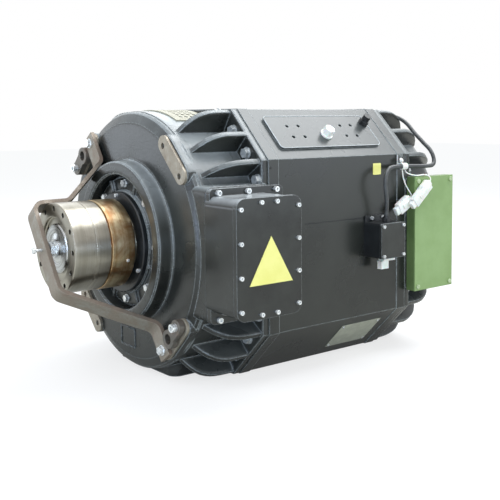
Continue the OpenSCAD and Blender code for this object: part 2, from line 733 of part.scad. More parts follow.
// The dished disc that holds the hub on the shaft.
module hub_end_plate() color("#cfd2d3")
    difference() {
        turned([[0, 1], [hub_bolt_d, 1], [hub_bolt_d + 2, 3], [plate_r - 22, 5], [plate_r - 20, 2.5], [plate_r - 3, 2.5],
                [plate_r, 5], [plate_r, hub_recess - fit_gap], [0, hub_recess - fit_gap]]);
        rod_x(-cut, hub_recess + cut, hub_bolt_d / 2 + fit_gap);
    }

module hub_centre_bolt() color("#dfe1e2")
    translate([1, 0, 0]) rotate([0, -90, 0]) hex_screw(hub_bolt_d, 45);

module rotor_core() color(lamination)
    difference() {
        rod_x(x_core, x_core_end, rotor_r, round_fn);
        rod_x(x_core - cut, x_core_end + cut, shaft_core_r + fit_gap, round_fn);
        ring_of(bars, bar_pitch_r) rod_x(x_core - cut, x_core_end + cut, bar_r + fit_gap, 24);
        ring_of(12, (shaft_core_r + rotor_r) / 2 - 4) rod_x(x_core - cut, x_core_end + cut, 13);
    }

bar_r = 7;
bar_pitch_r = rotor_r - bar_r - 4;
end_ring_t = 16;

module rotor_cage() color("#c7c9c8") {
    ring_of(bars, bar_pitch_r) rod_x(x_core - 9, x_core_end + 9, bar_r, 24);
    for (x = [x_core - 8 - end_ring_t, x_core_end + 8])
        turned([[bar_pitch_r - 14, x], [bar_pitch_r + bar_r + 1, x], [bar_pitch_r + bar_r + 1, x + end_ring_t], [bar_pitch_r - 14, x + end_ring_t]]);
}

// Radial fan between the rotor and the rear shield.
x_fan = x_core_end + 44;
fan_blades = 14;
module rotor_fan() color(lamination) {
    difference() {
        turned([[shaft_core_r - 10, x_fan], [bar_pitch_r - 20, x_fan], [bar_pitch_r - 20, x_fan + 8], [shaft_core_r + 12, x_fan + 12],
                [shaft_core_r + 12, x_fan + 34], [shaft_core_r - 10, x_fan + 34]]);
        shaft_clearance();
    }
    ring_of(fan_blades, 0)
        translate([x_fan + 6, -(bar_pitch_r - 22), -3]) cube([30, bar_pitch_r - 22 - shaft_core_r - 10, 6]);
}

// The fan's bore follows the taper of the shaft behind the core.
module shaft_clearance()
    turned([[0, x_core_end - cut], [shaft_core_r + fit_gap, x_core_end - cut], [shaft_core_r + fit_gap, x_core_end + 40],
            [shaft_rear_r + 6 + fit_gap, x_rear_bearing - 40], [0, x_rear_bearing - 40]]);

// ---- terminal box ----

box_x = x_frame - front_len + 93;      // middle of the cover
box_z = 3;
box_flange_x = box_x + 20;
box_flange_z = -2;
box_corner = 22;
gasket_t = 2;
box_body_h = box_depth - lid_t - gasket_t;
cover_screw_d = 6;
flange_screw_d = 8;
flange_screw_depth = 16;
flange_screw_in = 9;                   // screws from the edge of the flange
cover_screw_in = 10;                   // screws from the edge of the cover
cover_pair = 42;                       // between the two screws at the top and at the bottom
cover_pair_in = 3;

// The twelve cover screws: four down each side, two along the top and the bottom.
module at_cover_screws() {
    side_x = box_w / 2 - cover_screw_in;
    side_y = box_h / 2 - box_corner;
    for (s = [-1, 1], k = [-1, -1 / 3, 1 / 3, 1]) translate([s * side_x, k * side_y, 0]) children();
    for (s = [-1, 1], k = [-1, 1]) translate([k * cover_pair / 2 - cover_pair_in, s * (box_h / 2 - cover_screw_in), 0]) children();
}

module at_flange_screws()
    for (s = [-1, 1], k = [-1, 0, 1])
        translate([k * (box_flange_w / 2 - 22), s * (box_flange_h / 2 - flange_screw_in), 0]) children();

module box_screw_holes(depth)
    near_side(box_flange_x, box_flange_z, -depth) at_flange_screws()
        cylinder(h = depth + cut, d = flange_screw_d + 2 * fit_gap, $fn = small_fn);

// The passage for the motor leads from the shield into the terminal box.
module box_cable_way()
    near_side(box_x + 10, box_z, -half_w / 2) cylinder(h = half_w, r = 42, $fn = 48);

module terminal_box() color(black_paint)
    near_side(0, 0) difference() {
        union() {
            translate([box_flange_x, box_flange_z, 0]) rounded_block(box_flange_w, box_flange_h, box_flange_t, 12);
            translate([box_x, box_z, 0]) rounded_block(box_w - 4, box_h - 4, box_body_h, box_corner);
        }
        translate([box_x, box_z, box_flange_t])
            rounded_block(box_w - 4 - 2 * box_wall - 8, box_h - 4 - 2 * box_wall - 8, box_body_h, box_corner - 8);
        translate([box_x + 10, box_z, -cut]) cylinder(h = box_flange_t + 2 * cut, r = 40, $fn = 48);
        translate([box_flange_x, box_flange_z, -cut]) at_flange_screws()
            cylinder(h = box_flange_t + 2 * cut, d = flange_screw_d + 2 * fit_gap, $fn = small_fn);
        translate([box_x, box_z, box_body_h - 20]) at_cover_screws()
            cylinder(h = 20 + cut, d = cover_screw_d + 2 * fit_gap, $fn = small_fn);
    }

module terminal_box_gasket() color(rubber)
    near_side(box_x, box_z, box_body_h) difference() {
        rounded_block(box_w - 4, box_h - 4, gasket_t, box_corner);
        translate([0, 0, -cut])
            rounded_block(box_w - 4 - 2 * box_wall - 8, box_h - 4 - 2 * box_wall - 8, gasket_t + 2 * cut, box_corner - 8);
        translate([0, 0, -cut]) at_cover_screws()
            cylinder(h = gasket_t + 2 * cut, d = cover_screw_d + 2 * fit_gap, $fn = small_fn);
    }

module terminal_box_cover() color(black_paint)
    near_side(box_x, box_z, box_body_h + gasket_t) difference() {
        rounded_block(box_w, box_h, lid_t, box_corner);
        translate([0, 0, -cut]) at_cover_screws()
            cylinder(h = lid_t + 2 * cut, d = cover_screw_d + 2 * fit_gap, $fn = small_fn);
    }

module terminal_cover_screws() color(zinc)
    near_side(box_x, box_z, box_depth) at_cover_screws() socket_screw(cover_screw_d, lid_t + gasket_t + 14);

module terminal_flange_screws() color(zinc)
    near_side(box_flange_x, box_flange_z, box_flange_t) at_flange_screws() socket_screw(flange_screw_d, box_flange_t + flange_screw_depth - 2);

// An insulating block with three terminal studs, on the floor of the box.
block_z = box_z + 74;
module terminal_block() color("#7a3b26")
    near_side(box_x, block_z, box_flange_t) difference() {
        rounded_block(112, 44, 24, 6);
        for (k = [-1, 0, 1]) translate([k * 34, 0, 4]) cylinder(h = 24, d = 10 + 2 * fit_gap, $fn = small_fn);
    }

module terminal_studs() color(bronze)
    near_side(box_x, block_z, box_flange_t)
        for (k = [-1, 0, 1]) translate([k * 34, 0, 4]) {
            cylinder(h = 46, d = 10, $fn = small_fn);
            translate([0, 0, 20 + fit_gap]) cylinder(h = 8, d = 20, $fn = 6);
        }

// ---- plates ----

plate_t = 1.2;
module triangle_plate() color(yellow_paint)
    near_side(box_x + 3, box_z - 22, box_depth)
        linear_extrude(plate_t) polygon([for (a = [90, 210, 330]) triangle_side / sqrt(3) * [cos(a), sin(a)]]);
triangle_side = 117;

square_plate_in = 74;    // from the frame's end band
square_plate_drop = 153; // below the frame's top
module square_plate() color(yellow_paint)
    near_side(x_frame_end - frame_band - square_plate_in, half_h - square_plate_drop, -band_step) rounded_block(28, 29, plate_t, 2);

data_plate_w = 138;
data_plate_h = 95;
data_plate_x = x_frame_end - 131;
module at_rivets()
    for (sx = [-1, 1], sy = [-1, 1]) translate([sx * (data_plate_w / 2 - 7), sy * (data_plate_h / 2 - 7), 0]) children();

module data_plate() color("#9b9a8c")
    lower_chamfer(data_plate_x, 0, -band_step) difference() {
        rounded_block(data_plate_w, data_plate_h, plate_t, 3);
        translate([0, 0, -cut]) at_rivets() cylinder(h = plate_t + 2 * cut, d = 4 + 2 * fit_gap, $fn = small_fn);
    }

module data_plate_rivets() color(zinc)
    lower_chamfer(data_plate_x, 0, -band_step) at_rivets() {
        cylinder(h = plate_t + 1, d = 4, $fn = small_fn);
        translate([0, 0, plate_t]) cylinder(h = 1.8, d = 7, $fn = small_fn);
    }

// ---- sensor box and its cable ----

sensor_x = x_frame_end - 108;
sensor_z = -9;
sensor_lid_t = 6;
sensor_base_t = 5;
sensor_screw_d = 5;

module at_sensor_screws()
    for (sx = [-1, 1], sy = [-1, 1]) translate([sx * (sensor_w / 2 - 7), sy * (sensor_h / 2 - 7), 0]) children();

module sensor_box() color(dark_plastic)
    near_side(sensor_x, sensor_z, -band_step) difference() {
        union() {
            translate([0, 8, 0]) rounded_block(sensor_w - 2, sensor_h + 16, sensor_base_t, 4);
            rounded_block(sensor_w, sensor_h, sensor_depth - sensor_lid_t, 6);
        }
        translate([0, 0, sensor_base_t]) rounded_block(sensor_w - 30, sensor_h - 12, sensor_depth, 5);
        translate([0, 0, sensor_depth - sensor_lid_t - 16]) at_sensor_screws()
            cylinder(h = 16 + cut, d = sensor_screw_d + 2 * fit_gap, $fn = small_fn);
        translate([gland_side, sensor_h / 2 - 8, gland_out]) rotate([-90, 0, 0]) cylinder(h = 10, d = 12 + 2 * fit_gap, $fn = small_fn);
    }

module sensor_box_cover() color(black_paint)
    near_side(sensor_x, sensor_z, sensor_depth - sensor_lid_t - band_step) difference() {
        rounded_block(sensor_w, sensor_h, sensor_lid_t, 6);
        translate([0, 0, -cut]) at_sensor_screws()
            cylinder(h = sensor_lid_t + 2 * cut, d = sensor_screw_d + 2 * fit_gap, $fn = small_fn);
    }

module sensor_box_screws() color(zinc) {
    near_side(sensor_x, sensor_z, sensor_depth - band_step) at_sensor_screws() socket_screw(sensor_screw_d, sensor_lid_t + 12);
    near_side(sensor_x, sensor_z, sensor_base_t - band_step)
        for (s = [-1, 1]) translate([s * 20, sensor_h / 2 + 9, 0]) cylinder(h = 5, d = 9, $fn = small_fn);
}

// A white connector in the underside of the sensor box.
module sensor_box_plug() color(white_plastic)
    near_side(sensor_x + 4, sensor_z - sensor_h / 2, 30) {
        translate([-16, -10, -9]) cube([42, 10 - fit_gap, 18]);
        translate([-22, -30, -7]) cube([26, 20, 14]);
    }

gland_out = 33.5;        // gland of the sensor box, out from the side face
gland_h = 16;
gland_side = 4;          // gland of the sensor box, beside its middle
cable_d = 11;
clip_x = x_frame_end - 23;
clip_stand = 16;          // cable above the side of the frame
clip_y = -half_w - clip_stand;
clip_z = 171;
boss_x = x_frame_end + 117;
boss_face_y = -126;
boss_z = 300;

// The route of the sensor cable. It leaves the sensor box upwards, passes the
// clip at the rear corner, climbs over the rear ribs and ends in the cable boss.
cable_route = [
    [727, -356, 51], [727, -357, 66], [724, -360, 88], [718, -363, 112], [716, -363, 134], [722, -360, 153],
    [736, -354, 165], [755, -347, 170], [780, -341, 171], [808, -340, 171], [840, -341, 170], [870, -343, 169],
    [898, -344, 169], [920, -341, 171], [934, -334, 180], [941, -320, 202], [949, -281, 230], [958, -243, 254],
    [965, -209, 279], [966, -185, 292], [960, -168, 299], [953, -158, 301], [948, -148, 300]];

function unit(v) = v / norm(v);
function reversed(v) = [for (i = [len(v) - 1:-1:0]) v[i]];
// a point on the smooth line through points p, between p[i] and p[i + 1]
function spline(p, i, t) =
    let (a = p[max(i - 1, 0)], b = p[i], c = p[i + 1], d = p[min(i + 2, len(p) - 1)])
    0.5 * (2 * b + (c - a) * t + (2 * a - 5 * b + 4 * c - d) * t * t + (3 * b - a - 3 * c + d) * t * t * t);
function smooth(p, steps) = concat([for (i = [0:len(p) - 2], k = [0:steps - 1]) spline(p, i, k / steps)], [p[len(p) - 1]]);
function turn_frame(n, t) = unit(n - (n * t) * t);
// side directions carried along the line without twist
function frames(p, i = 0, n = [0, 1, 0.1], out = []) =
    i == len(p) ? out
    : let (t = unit(p[min(i + 1, len(p) - 1)] - p[max(i - 1, 0)]), m = turn_frame(n, t)) frames(p, i + 1, m, concat(out, [[m, cross(t, m)]]));

// A round tube of radius r along the points p.
module tube(p, r, sides = 8) {
    f = frames(p);
    count = len(p);
    points = [for (i = [0:count - 1], k = [0:sides - 1]) p[i] + r * (cos(360 * k / sides) * f[i][0] + sin(360 * k / sides) * f[i][1])];
    skin = [for (i = [0:count - 2], k = [0:sides - 1])
        [i * sides + k, i * sides + (k + 1) % sides, (i + 1) * sides + (k + 1) % sides, (i + 1) * sides + k]];
    polyhedron(points, concat(skin, [[for (k = [sides - 1:-1:0]) k], [for (k = [0:sides - 1]) (count - 1) * sides + k]]), convexity = 6);
}

module sensor_cable() color(rubber) tube(smooth(cable_route, 2), cable_d / 2);

// A gland along local Z: its shank, its hexagon and its nut.
module gland(shank) {
    translate([0, 0, -shank]) cylinder(h = shank, d = 12, $fn = small_fn);
    cylinder(h = gland_h - 6, d = 20, $fn = 6);
    translate([0, 0, gland_h - 6]) cylinder(h = 3, d = 18, $fn = small_fn);
    translate([0, 0, gland_h - 3]) cylinder(h = 3, d = 14, $fn = small_fn);
}

module at_cable_boss() translate([boss_x, boss_face_y, boss_z]) rotate([90, 0, 0]) children();

module cable_glands() color("#3a3d3f") {
    translate([sensor_x + gland_side, -half_w - gland_out + band_step, sensor_z + sensor_h / 2]) gland(7);
    at_cable_boss() {
        gland(14);
        translate([0, 0, gland_h - cut]) cylinder(h = 6 + cut, d = 13, $fn = small_fn);
    }
}

// A cast boss on top of the rear drum that takes the cable's gland.
module cable_boss()
    difference() {
        translate([boss_x - 17, boss_face_y, boss_z - 30]) cube([34, 56, 45]);
        rod_x(x_frame_end, x_rear, drum_r - drum_wall, round_fn);
    }

module cable_boss_bore()
    at_cable_boss() translate([0, 0, -30]) cylinder(h = 30 + cut, d = 12 + 2 * fit_gap, $fn = small_fn);

// A clip that holds the cable to the near side of the frame.
clip_w = 18;
module cable_clip() color(white_plastic)
    translate([clip_x - clip_w / 2, 0, clip_z]) difference() {
        union() {
            translate([0, clip_y, 0]) rotate([0, 90, 0]) cylinder(h = clip_w, r = cable_d / 2 + 3, $fn = small_fn);
            translate([0, clip_y, 0]) cube([clip_w, -half_w - clip_y, cable_d / 2 + 3]);
            translate([0, -half_w - 5, 0]) cube([clip_w, 5, 30]);
            translate([clip_w / 2, -half_w - 5, 21]) rotate([90, 0, 0]) cylinder(h = 5, d = 13, $fn = 6);
        }
        translate([-cut, clip_y, 0]) rotate([0, 90, 0]) cylinder(h = clip_w + 2 * cut, r = cable_d / 2 + 0.3, $fn = small_fn);
    }

// ---- auxiliary box ----

aux_x = x_frame_end + 8 + aux_w / 2;
aux_z = -8;
aux_boss_h = aux_h - 8;
aux_lid_t = 4;
aux_screw_d = 6;
aux_grip = 4.5;           // thread of a lid screw in the shield's boss

module at_aux_screws()
    for (sx = [-1, 1], sy = [-1, 1]) translate([sx * (aux_w / 2 - 12), sy * (aux_h / 2 - 12), 0]) children();

module aux_screw_holes(depth)
    near_side(aux_x, aux_z, -depth) at_aux_screws() cylinder(h = depth + cut, d = aux_screw_d + 2 * fit_gap, $fn = small_fn);

module auxiliary_box() color(green_paint)
    near_side(aux_x, aux_z) difference() {
        translate([-aux_w / 2, -aux_h / 2, 0]) cube([aux_w, aux_h, aux_depth - aux_lid_t]);
        translate([-aux_w / 2 + 3, -aux_h / 2 + 26, 3]) cube([aux_w - 6, aux_h - 52, aux_depth]);
        translate([0, 0, -cut]) at_aux_screws()
            cylinder(h = aux_depth + 2 * cut, d = aux_screw_d + 2 * fit_gap, $fn = small_fn);
    }

module auxiliary_box_lid() color(green_paint)
    near_side(aux_x, aux_z, aux_depth - aux_lid_t) difference() {
        translate([-aux_w / 2, -aux_h / 2, 0]) cube([aux_w, aux_h, aux_lid_t]);
        translate([0, 0, -cut]) at_aux_screws()
            cylinder(h = aux_lid_t + 2 * cut, d = aux_screw_d + 2 * fit_gap, $fn = small_fn);
    }

module auxiliary_lid_screws() color(green_paint)
    near_side(aux_x, aux_z, aux_depth) at_aux_screws() hex_screw(aux_screw_d, aux_depth + aux_grip);

// ---- transport strap ----

strap_angle = 45 + pad_hole_step;
strap_out = -strap_gap - strap_t;            // outer face of the strap, in front of the hub
strap_side = hub_r + strap_clear + strap_t;  // outer face of the strap beside the hub
foot_bolt_d = pad_hole_d - 2;

// The strap is one bent bar, drawn as its middle line in [x, distance along the diagonal].
strap_bend_r = 24;       // radius of the middle line in a bend
strap_leg_x = x_pad - 128;
bend_steps = 6;
foot_x = x_pad - strap_t / 2;
front_x = strap_out + strap_t / 2;
strap_line = [[foot_x, pad_hole_r + 20], [foot_x, pad_hole_r - 58], [front_x, strap_side - 4],
              [front_x, -strap_side + strap_t / 2], [strap_leg_x, -strap_side + strap_t / 2 - 1],
              [foot_x, -pad_hole_r + 66], [foot_x, -pad_hole_r - 20]];

function left_of(u) = [-u[1], u[0]];
// The edge of the bar at offset d from its middle line, with a round bend at each corner.
function bent(p, d) = concat([p[0] + d * left_of(unit(p[1] - p[0]))],
    [for (i = [1:len(p) - 2]) each bend(p[i], unit(p[i] - p[i - 1]), unit(p[i + 1] - p[i]), d)],
    [let (e = len(p) - 1) p[e] + d * left_of(unit(p[e] - p[e - 1]))]);
function bend(corner, u, v, d) =
    let (turn = atan2(u[0] * v[1] - u[1] * v[0], u * v), side = turn > 0 ? 1 : -1,
         centre = corner - u * strap_bend_r * tan(abs(turn) / 2) + side * strap_bend_r * left_of(u))
    [for (k = [0:bend_steps]) let (a = turn * k / bend_steps, n = left_of(u) * cos(a) - u * sin(a))
        centre + (d - side * strap_bend_r) * n];

module strap_profile()
    polygon([for (q = concat(bent(strap_line, strap_t / 2), reversed(bent(strap_line, -strap_t / 2)))) [q[0], -q[1]]]);

module transport_strap() color(rusty_steel)
    polar(0, -strap_angle) difference() {
        translate([0, 0, -strap_w / 2]) linear_extrude(strap_w) strap_profile();
        for (s = [-1, 1]) translate([x_pad - strap_t - cut, s * pad_hole_r, 0]) rod_x(0, strap_t + 2 * cut, foot_bolt_d / 2 + fit_gap);
        rod_x(strap_out - cut, strap_out + strap_t + cut, 4 + fit_gap);
    }

module strap_foot_bolts() color(zinc)
    polar(0, -strap_angle)
        for (s = [-1, 1]) translate([x_pad - strap_t, s * pad_hole_r, 0]) rotate([0, -90, 0]) hex_screw(foot_bolt_d, strap_t + 28);

module strap_centre_screw() color(zinc)
    translate([strap_out - 16, 0, 0]) rotate([0, -90, 0]) {
        cylinder(h = 5.5, d = 14.5, $fn = 6);
        translate([0, 0, -30]) cylinder(h = 30 + cut, d = 8, $fn = small_fn);
    }

// A flat lug with a large eye beside each foot of the strap.
lug_t = 16;
eye_d = 24;
lug_w = 44;
lug_bolt_d = pad_hole_d - 2;
module tie_down_lugs() color(rusty_steel)
    for (turn = [0, 180]) polar(0, turn - 45) difference() {
        reach = pad_hole_r * sin(pad_hole_step);
        union() {
            for (s = [0, reach]) translate([x_pad - lug_t, -pad_hole_r * cos(pad_hole_step), s]) rod_x(0, lug_t, lug_w / 2 - (s > 0 ? 4 : 0));
            translate([x_pad - lug_t, -pad_hole_r * cos(pad_hole_step) - lug_w / 2 + 5, 0]) cube([lug_t, lug_w - 10, reach]);
        }
        translate([x_pad - lug_t - cut, -pad_hole_r * cos(pad_hole_step), 0]) rod_x(0, lug_t + 2 * cut, eye_d / 2);
        translate([x_pad - lug_t - cut, -pad_hole_r * cos(pad_hole_step), reach]) rod_x(0, lug_t + 2 * cut, lug_bolt_d / 2 + fit_gap);
    }

module lug_bolts() color(zinc)
    for (turn = [0, 180]) polar(pad_hole_r, turn - 45 + pad_hole_step)
        translate([x_pad - lug_t, 0, 0]) rotate([0, -90, 0]) socket_screw(lug_bolt_d, lug_t + 26);

// ---- plugs on the chamfer pad ----

module port_plugs() {
    color(white_plastic) upper_chamfer(port_x[0], port_up[0], pad_rise) {
        translate([0, 0, -pad_rise - 12]) cylinder(h = pad_rise + 12, d = port_d[0] - 2 * fit_gap, $fn = small_fn);
        cylinder(h = 4, d = 32, $fn = small_fn);
        translate([0, 0, 4]) cylinder(h = 18, d = 28, $fn = 6);
    }
    color(dark_plastic) upper_chamfer(port_x[1], port_up[1], pad_rise) {
        translate([0, 0, -pad_rise - 12]) cylinder(h = pad_rise + 12, d = port_d[1] - 2 * fit_gap, $fn = small_fn);
        cylinder(h = 12, d = 26, $fn = 6);
        translate([0, 0, 12]) cylinder(h = 16, d = 20, $fn = small_fn);
    }
}

// ---- spare leads ----

// Two short leads hang from the clip, each with a white connector on its end.
lead_d = 3.2;
lead_low = [
    [803, -340, 162], [803, -341, 155], [803, -342, 148], [804, -343, 141], [806, -344, 134], [808, -345, 127],
    [811, -346, 121], [815, -347, 115], [819, -347, 110], [823, -347, 105.5], [826, -347, 102], [828, -347, 99.5],
    [829.5, -347, 96.8], [830, -347, 93.5], [829, -347, 90], [826, -347, 87]];
lead_high = [
    [813, -340, 162], [814, -342, 157], [817, -346, 153], [822, -350, 150], [828, -355, 148], [835, -359, 147],
    [843, -362, 147], [851, -364, 148], [859, -366, 148], [867, -366, 147], [874, -366, 145], [880, -366, 141],
    [882.6, -366, 137.6], [883.2, -366, 134], [882.3, -366, 130.8], [880, -366, 128.5]];

module spare_leads() color(white_plastic) {
    tube(lead_low, lead_d / 2);
    tube(lead_high, lead_d / 2);
}

// A connector that hangs from local zero, turned by tilt.
module connector(at, tilt, w, h)
    translate(at) rotate([0, tilt, 0]) {
        translate([-w / 2, -8, -h]) cube([w, 16, h - 6]);
        translate([-w / 2 + 5, -6, -h - 8]) cube([w - 10, 12, 9]);
        translate([-8, -5, -7]) cube([16, 10, 7]);
    }

module spare_connectors() color(white_plastic) {
    connector(lead_low[len(lead_low) - 1], 60, 30, 56);
    connector(lead_high[len(lead_high) - 1], 49.5, 28, 84);
}

stator_frame();
stator_core();
stator_windings();
drive_end_shield();
rear_end_shield();
mounting_pads();
bearing_housing();
bearing_housing_bolts();
bearing_cap();
bearing_cap_screws();
drive_end_outer_ring();
drive_end_roller_set();
drive_end_inner_ring();
rear_bearing_housing();
rear_bearing_cover();
rear_cover_bolts();
rear_outer_ring();
rear_ball_set();
rear_inner_ring();
front_shield_bolts();
rear_shield_bolts();
air_grilles();
terminal_box();
terminal_box_gasket();
terminal_box_cover();
terminal_cover_screws();
terminal_flange_screws();
terminal_block();
terminal_studs();
triangle_plate();
square_plate();
data_plate();
data_plate_rivets();
sensor_box();
sensor_box_cover();
sensor_box_screws();
sensor_box_plug();
cable_glands();
sensor_cable();
cable_clip();
auxiliary_box();
auxiliary_box_lid();
auxiliary_lid_screws();
transport_strap();
strap_foot_bolts();
strap_centre_screw();
tie_down_lugs();
lug_bolts();
port_plugs();
shaft();
drive_hub();
spacer_ring();
hub_end_plate();
hub_centre_bolt();
labyrinth_ring();
rotor_core();
rotor_cage();
rotor_fan();
spare_leads();
spare_connectors();
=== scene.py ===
# Octagonal traction motor with ribbed end shields and a bare drive hub:
# finishes, cords, small pieces, light and camera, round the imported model.
import math

import bpy
from mathutils import Matrix, Vector


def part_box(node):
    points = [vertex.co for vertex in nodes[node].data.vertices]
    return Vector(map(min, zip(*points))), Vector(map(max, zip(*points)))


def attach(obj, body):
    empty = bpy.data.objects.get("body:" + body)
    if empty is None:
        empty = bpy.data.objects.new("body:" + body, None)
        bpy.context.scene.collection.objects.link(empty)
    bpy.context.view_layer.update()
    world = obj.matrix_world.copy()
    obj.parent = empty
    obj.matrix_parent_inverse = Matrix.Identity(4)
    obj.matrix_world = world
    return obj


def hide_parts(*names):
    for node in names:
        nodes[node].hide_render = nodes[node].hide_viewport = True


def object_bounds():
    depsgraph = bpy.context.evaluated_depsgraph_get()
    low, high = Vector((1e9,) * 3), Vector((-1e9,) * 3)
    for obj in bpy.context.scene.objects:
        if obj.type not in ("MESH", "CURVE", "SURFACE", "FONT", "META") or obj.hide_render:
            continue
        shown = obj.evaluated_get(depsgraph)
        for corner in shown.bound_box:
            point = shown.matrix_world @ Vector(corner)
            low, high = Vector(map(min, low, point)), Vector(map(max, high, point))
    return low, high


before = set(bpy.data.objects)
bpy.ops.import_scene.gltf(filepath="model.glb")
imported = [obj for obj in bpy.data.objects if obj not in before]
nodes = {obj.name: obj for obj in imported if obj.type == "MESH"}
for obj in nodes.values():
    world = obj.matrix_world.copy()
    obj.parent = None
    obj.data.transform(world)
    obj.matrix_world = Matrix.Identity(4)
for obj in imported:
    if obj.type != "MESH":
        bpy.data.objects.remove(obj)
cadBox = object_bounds()
mm = 0.001


camera = {
    "place": (-0.8250, -1.8188, 0.2951),
    "heading": 39.03,  # degrees from +Y towards +X
    "tilt": -4.54,
    "roll": -0.39,
    "lens": 60.85,
    "sensor": 36,
    "shift": (-0.046, -0.128),
    "reach": 40,
}


def aimCamera(c):
    data = bpy.data.cameras.new("camera")
    data.lens, data.sensor_width = c["lens"], c["sensor"]
    data.shift_x, data.shift_y = c["shift"]
    data.clip_end = c["reach"]
    obj = bpy.data.objects.new("camera", data)
    bpy.context.scene.collection.objects.link(obj)
    turn = (Matrix.Rotation(math.radians(-c["heading"]), 4, "Z")
            @ Matrix.Rotation(math.radians(90 + c["tilt"]), 4, "X")
            @ Matrix.Rotation(math.radians(c["roll"]), 4, "Z"))
    obj.matrix_world = Matrix.Translation(c["place"]) @ turn
    bpy.context.scene.camera = obj


aimCamera(camera)
print("camera ready")


def hexColor(text):  # sRGB hex to the linear colour that a socket takes
    parts = [int(text[i:i + 2], 16) / 255 for i in (1, 3, 5)]
    linear = tuple(p / 12.92 if p <= 0.04045 else ((p + 0.055) / 1.055) ** 2.4 for p in parts)
    return linear + (1.0,)


def addNode(tree, kind, settings=None, links=None, stops=None):
    node = tree.nodes.new("ShaderNode" + kind)
    values = []
    for name, value in (settings or {}).items():
        if isinstance(name, str) and hasattr(node, name):
            setattr(node, name, value)
        else:
            values.append((name, value))
    for name, value in values:  # after the modes, which decide the sockets
        node.inputs[name].default_value = hexColor(value) if isinstance(value, str) else value
    for name, source in (links or {}).items():
        tree.links.new(source, node.inputs[name])
    if stops:  # colour ramp: place and colour
        node.color_ramp.interpolation = "EASE"
        marks = node.color_ramp.elements
        while len(marks) < len(stops):
            marks.new(0.5)
        for mark, (place, tone) in zip(marks, stops):
            mark.position, mark.color = place, hexColor(tone)
    return node


def startMaterial(name):
    m = bpy.data.materials.new(name)
    m.use_nodes = True
    m.node_tree.nodes.clear()
    return m, m.node_tree


def endMaterial(tree, settings, links):
    shader = addNode(tree, "BsdfPrincipled", settings, links)
    addNode(tree, "OutputMaterial", {}, {"Surface": shader.outputs[0]})


def finish(material, names):  # puts a material on CAD nodes
    for name in names:
        for slot in nodes[name].material_slots:
            slot.material = material


# Two-pack black enamel, sprayed on castings and plate: deep black with a soft
# sheen, a pale veil on what faces up and stands higher that is partly workshop
# dust and partly painted sheen, and paler edges that are partly worn paint and
# partly painted highlight.
# Sizes of patterns and edges are in metres, here and in the other finishes, and
# a noise node's scale is one over the size of its pattern. A pattern is as large
# as the real one, unless a comment says that it is drawn wider.
def makeEnamel(name, v):
    facingUp = (0.25, 1.0)  # from a steep face without dust or painted sheen to a level one
    paleHeights = (-0.05, 0.2)  # heights between which the dust and painted sheen grow stronger
    bent = (0.99, 0.93)  # how far an edge turns before it is paler, with worn paint and painted highlight
    m, t = startMaterial(name)
    where = addNode(t, "TexCoord").outputs["Object"]
    geometry = addNode(t, "NewGeometry")
    cloud = addNode(t, "TexNoise", {"Scale": 1 / v["cloud"], "Detail": 4.0, "Roughness": 0.6},
                    {"Vector": where}).outputs[0]
    grain = addNode(t, "TexNoise", {"Scale": 1 / v["grain"], "Detail": 3.0, "Roughness": 0.55},
                    {"Vector": where}).outputs[0]
    tone = addNode(t, "ValToRGB", {}, {0: cloud},
                   [(0.32, v["dark"]), (0.68, v["pale"])]).outputs[0]
    soft = addNode(t, "Bevel", {"samples": 6, "Radius": v["round"]}).outputs[0]
    narrow = addNode(t, "Bevel", {"samples": 4, "Radius": v["edge"]}).outputs[0]

    # Dust and painted sheen: a pale tone on what faces up, stronger higher up.
    up = addNode(t, "SeparateXYZ", {}, {0: geometry.outputs["Normal"]}).outputs[2]
    dustAndSheen = addNode(t, "MapRange", {"From Min": facingUp[0], "From Max": facingUp[1],
                                   "To Max": v["dustAndSheenShare"]}, {"Value": up}).outputs[0]
    dustAndSheen = addNode(t, "Math", {"operation": "MULTIPLY"}, {0: dustAndSheen, 1: cloud}).outputs[0]
    height = addNode(t, "SeparateXYZ", {}, {0: where}).outputs[2]
    higherShare = addNode(t, "MapRange", {"From Min": paleHeights[0], "From Max": paleHeights[1],
                                      "To Min": 0.15}, {"Value": height}).outputs[0]
    dustAndSheen = addNode(t, "Math", {"operation": "MULTIPLY"}, {0: dustAndSheen, 1: higherShare}).outputs[0]
    tone = addNode(t, "Mix", {"data_type": "RGBA", 7: v["dustAndSheen"]}, {0: dustAndSheen, 6: tone}).outputs[2]

    # Paler edges: partly worn paint, partly a painted highlight along ridges and folds.
    flat = addNode(t, "VectorMath", {"operation": "DOT_PRODUCT"},
                   {0: narrow, 1: geometry.outputs["Normal"]}).outputs["Value"]
    rim = addNode(t, "MapRange", {"From Min": bent[0], "From Max": bent[1],
                                  "To Max": v["wearAndHighlight"]}, {"Value": flat}).outputs[0]
    patchy = addNode(t, "MapRange", {"From Min": 0.3, "From Max": 0.6, "To Min": 0.35},
                     {"Value": grain}).outputs[0]
    rim = addNode(t, "Math", {"operation": "MULTIPLY"}, {0: rim, 1: patchy}).outputs[0]
    tone = addNode(t, "Mix", {"data_type": "RGBA", 7: v["wornAndHighlight"]}, {0: rim, 6: tone}).outputs[2]

    gloss = addNode(t, "MapRange", {"From Min": 0.15, "From Max": 0.85, "To Min": v["gloss"][0],
                                    "To Max": v["gloss"][1]}, {"Value": cloud}).outputs[0]
    bump = addNode(t, "Bump", {"Strength": v["relief"], "Distance": 0.001},
                   {"Height": grain, "Normal": soft}).outputs[0]
    endMaterial(t, {"IOR": 1.5}, {"Base Color": tone, "Roughness": gloss, "Normal": bump})
    return m


# On sand-cast iron the skin under the paint stays uneven, drawn as 7 mm lumps,
# as the real 1 mm grain is too fine to show.
castEnamel = makeEnamel("enamel_on_grey_iron", {
    "dark": "#1c1e1d", "pale": "#333532", "dustAndSheen": "#b4babb", "dustAndSheenShare": 1.45,
    "wornAndHighlight": "#b0b7b8", "wearAndHighlight": 0.85, "cloud": 0.16, "grain": 0.007,
    "edge": 0.004, "round": 0.014, "gloss": (0.15, 0.4), "relief": 0.35,
})
